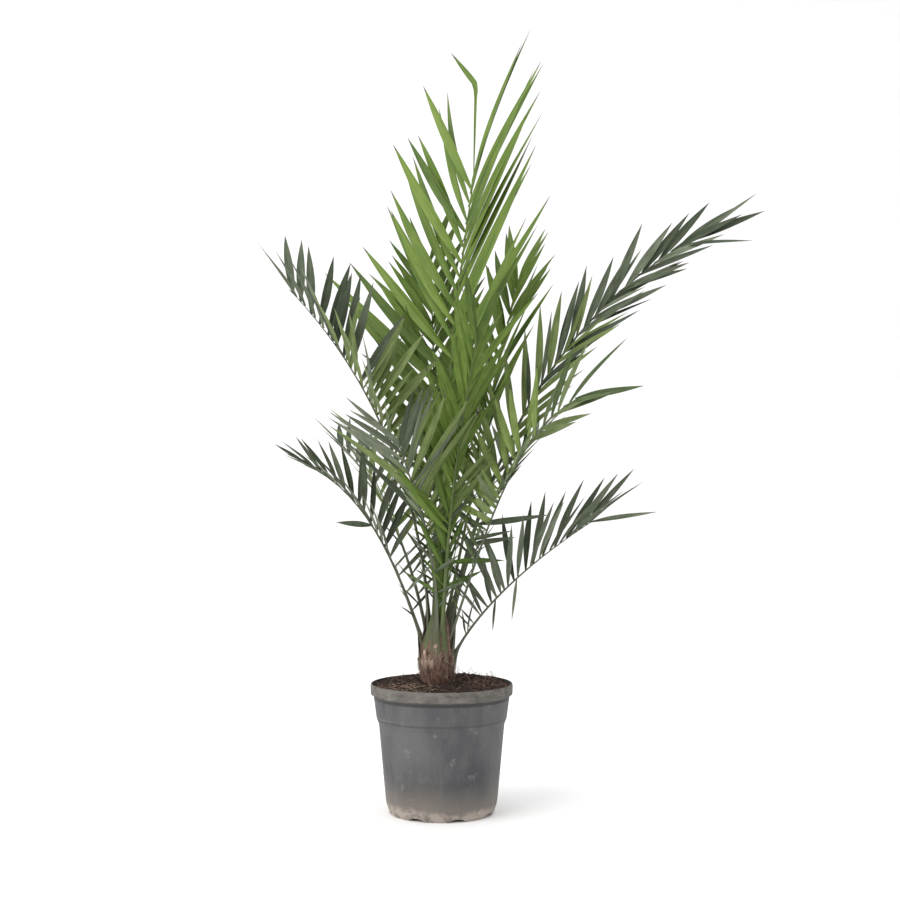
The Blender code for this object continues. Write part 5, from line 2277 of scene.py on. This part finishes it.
@dataclass
class Studio:
    """A pale floor that curves up behind the plant, soft light from all round and a level camera."""

    camera_place: Triple = (0.014, -2.8, 0.608)
    lens: float = 66.64
    sensor: float = 36.0
    sky: float = 0.88
    near: float = -6.0
    back: float = 3.0
    curve: float = 1.5
    wall_height: float = 7.0
    half_width: float = 7.0
    lamps: tuple[Lamp, ...] = (
        Lamp("key_left", (-2.6, -2.2, 2.6), 3.2, 104.0, (1.0, 0.99, 0.97)),
        Lamp("fill_right", (2.8, -1.6, 1.8), 2.6, 6.0, (0.97, 0.98, 1.0)),
        Lamp("top", (0.0, 0.4, 3.6), 2.6, 45.0, (1.0, 1.0, 1.0)),
    )

    def floor(self) -> Object:
        """A floor that sweeps up into a back wall.

        Returns:
            The floor.
        """
        profile = [(self.near, 0.0), (self.back, 0.0)]
        for degrees in range(10, 91, 10):
            turn = math.radians(degrees)
            profile.append((self.back + self.curve * math.sin(turn), self.curve * (1.0 - math.cos(turn))))
        profile.append((self.back + self.curve, self.wall_height))
        vertices = [Vector((x, y, z)) for y, z in profile for x in (-self.half_width, self.half_width)]
        faces = [(2 * i, 2 * i + 1, 2 * i + 3, 2 * i + 2) for i in range(len(profile) - 1)]
        mesh = bpy.data.meshes.new("studio_floor")
        mesh.from_pydata(vertices, [], faces)
        floor = placed("studio_floor", mesh, FloorFinish().material())
        floor.data.shade_smooth()
        return floor

    def build(self) -> None:
        """Builds the floor, the lights, the sky and the camera."""
        self.floor()
        for lamp in self.lamps:
            lamp.build()
        world = bpy.data.worlds.new("soft_sky")
        world.use_nodes = True
        back = world.node_tree.nodes["Background"]
        back.inputs["Color"].default_value = (1.0, 1.0, 1.0, 1.0)
        back.inputs["Strength"].default_value = self.sky
        scene = bpy.context.scene
        scene.world = world
        scene.view_settings.view_transform = "Standard"
        data = bpy.data.cameras.new("camera")
        data.lens, data.sensor_width = self.lens, self.sensor
        camera = bpy.data.objects.new("camera", data)
        camera.location = self.camera_place
        camera.rotation_euler = Euler((math.radians(90.0), 0.0, 0.0))
        scene.collection.objects.link(camera)
        scene.camera = camera


def main() -> None:
    """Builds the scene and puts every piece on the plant's body."""
    Studio().build()
    pieces = [PotShell().build(), *SoilBed().build(), *Stem().build(), Heart().build(), *Fronds().build()]
    for piece in pieces:
        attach(piece, BODY)
        log.info("%s: %d faces", piece.name, len(piece.data.polygons))


if __name__ == "__main__":
    main()
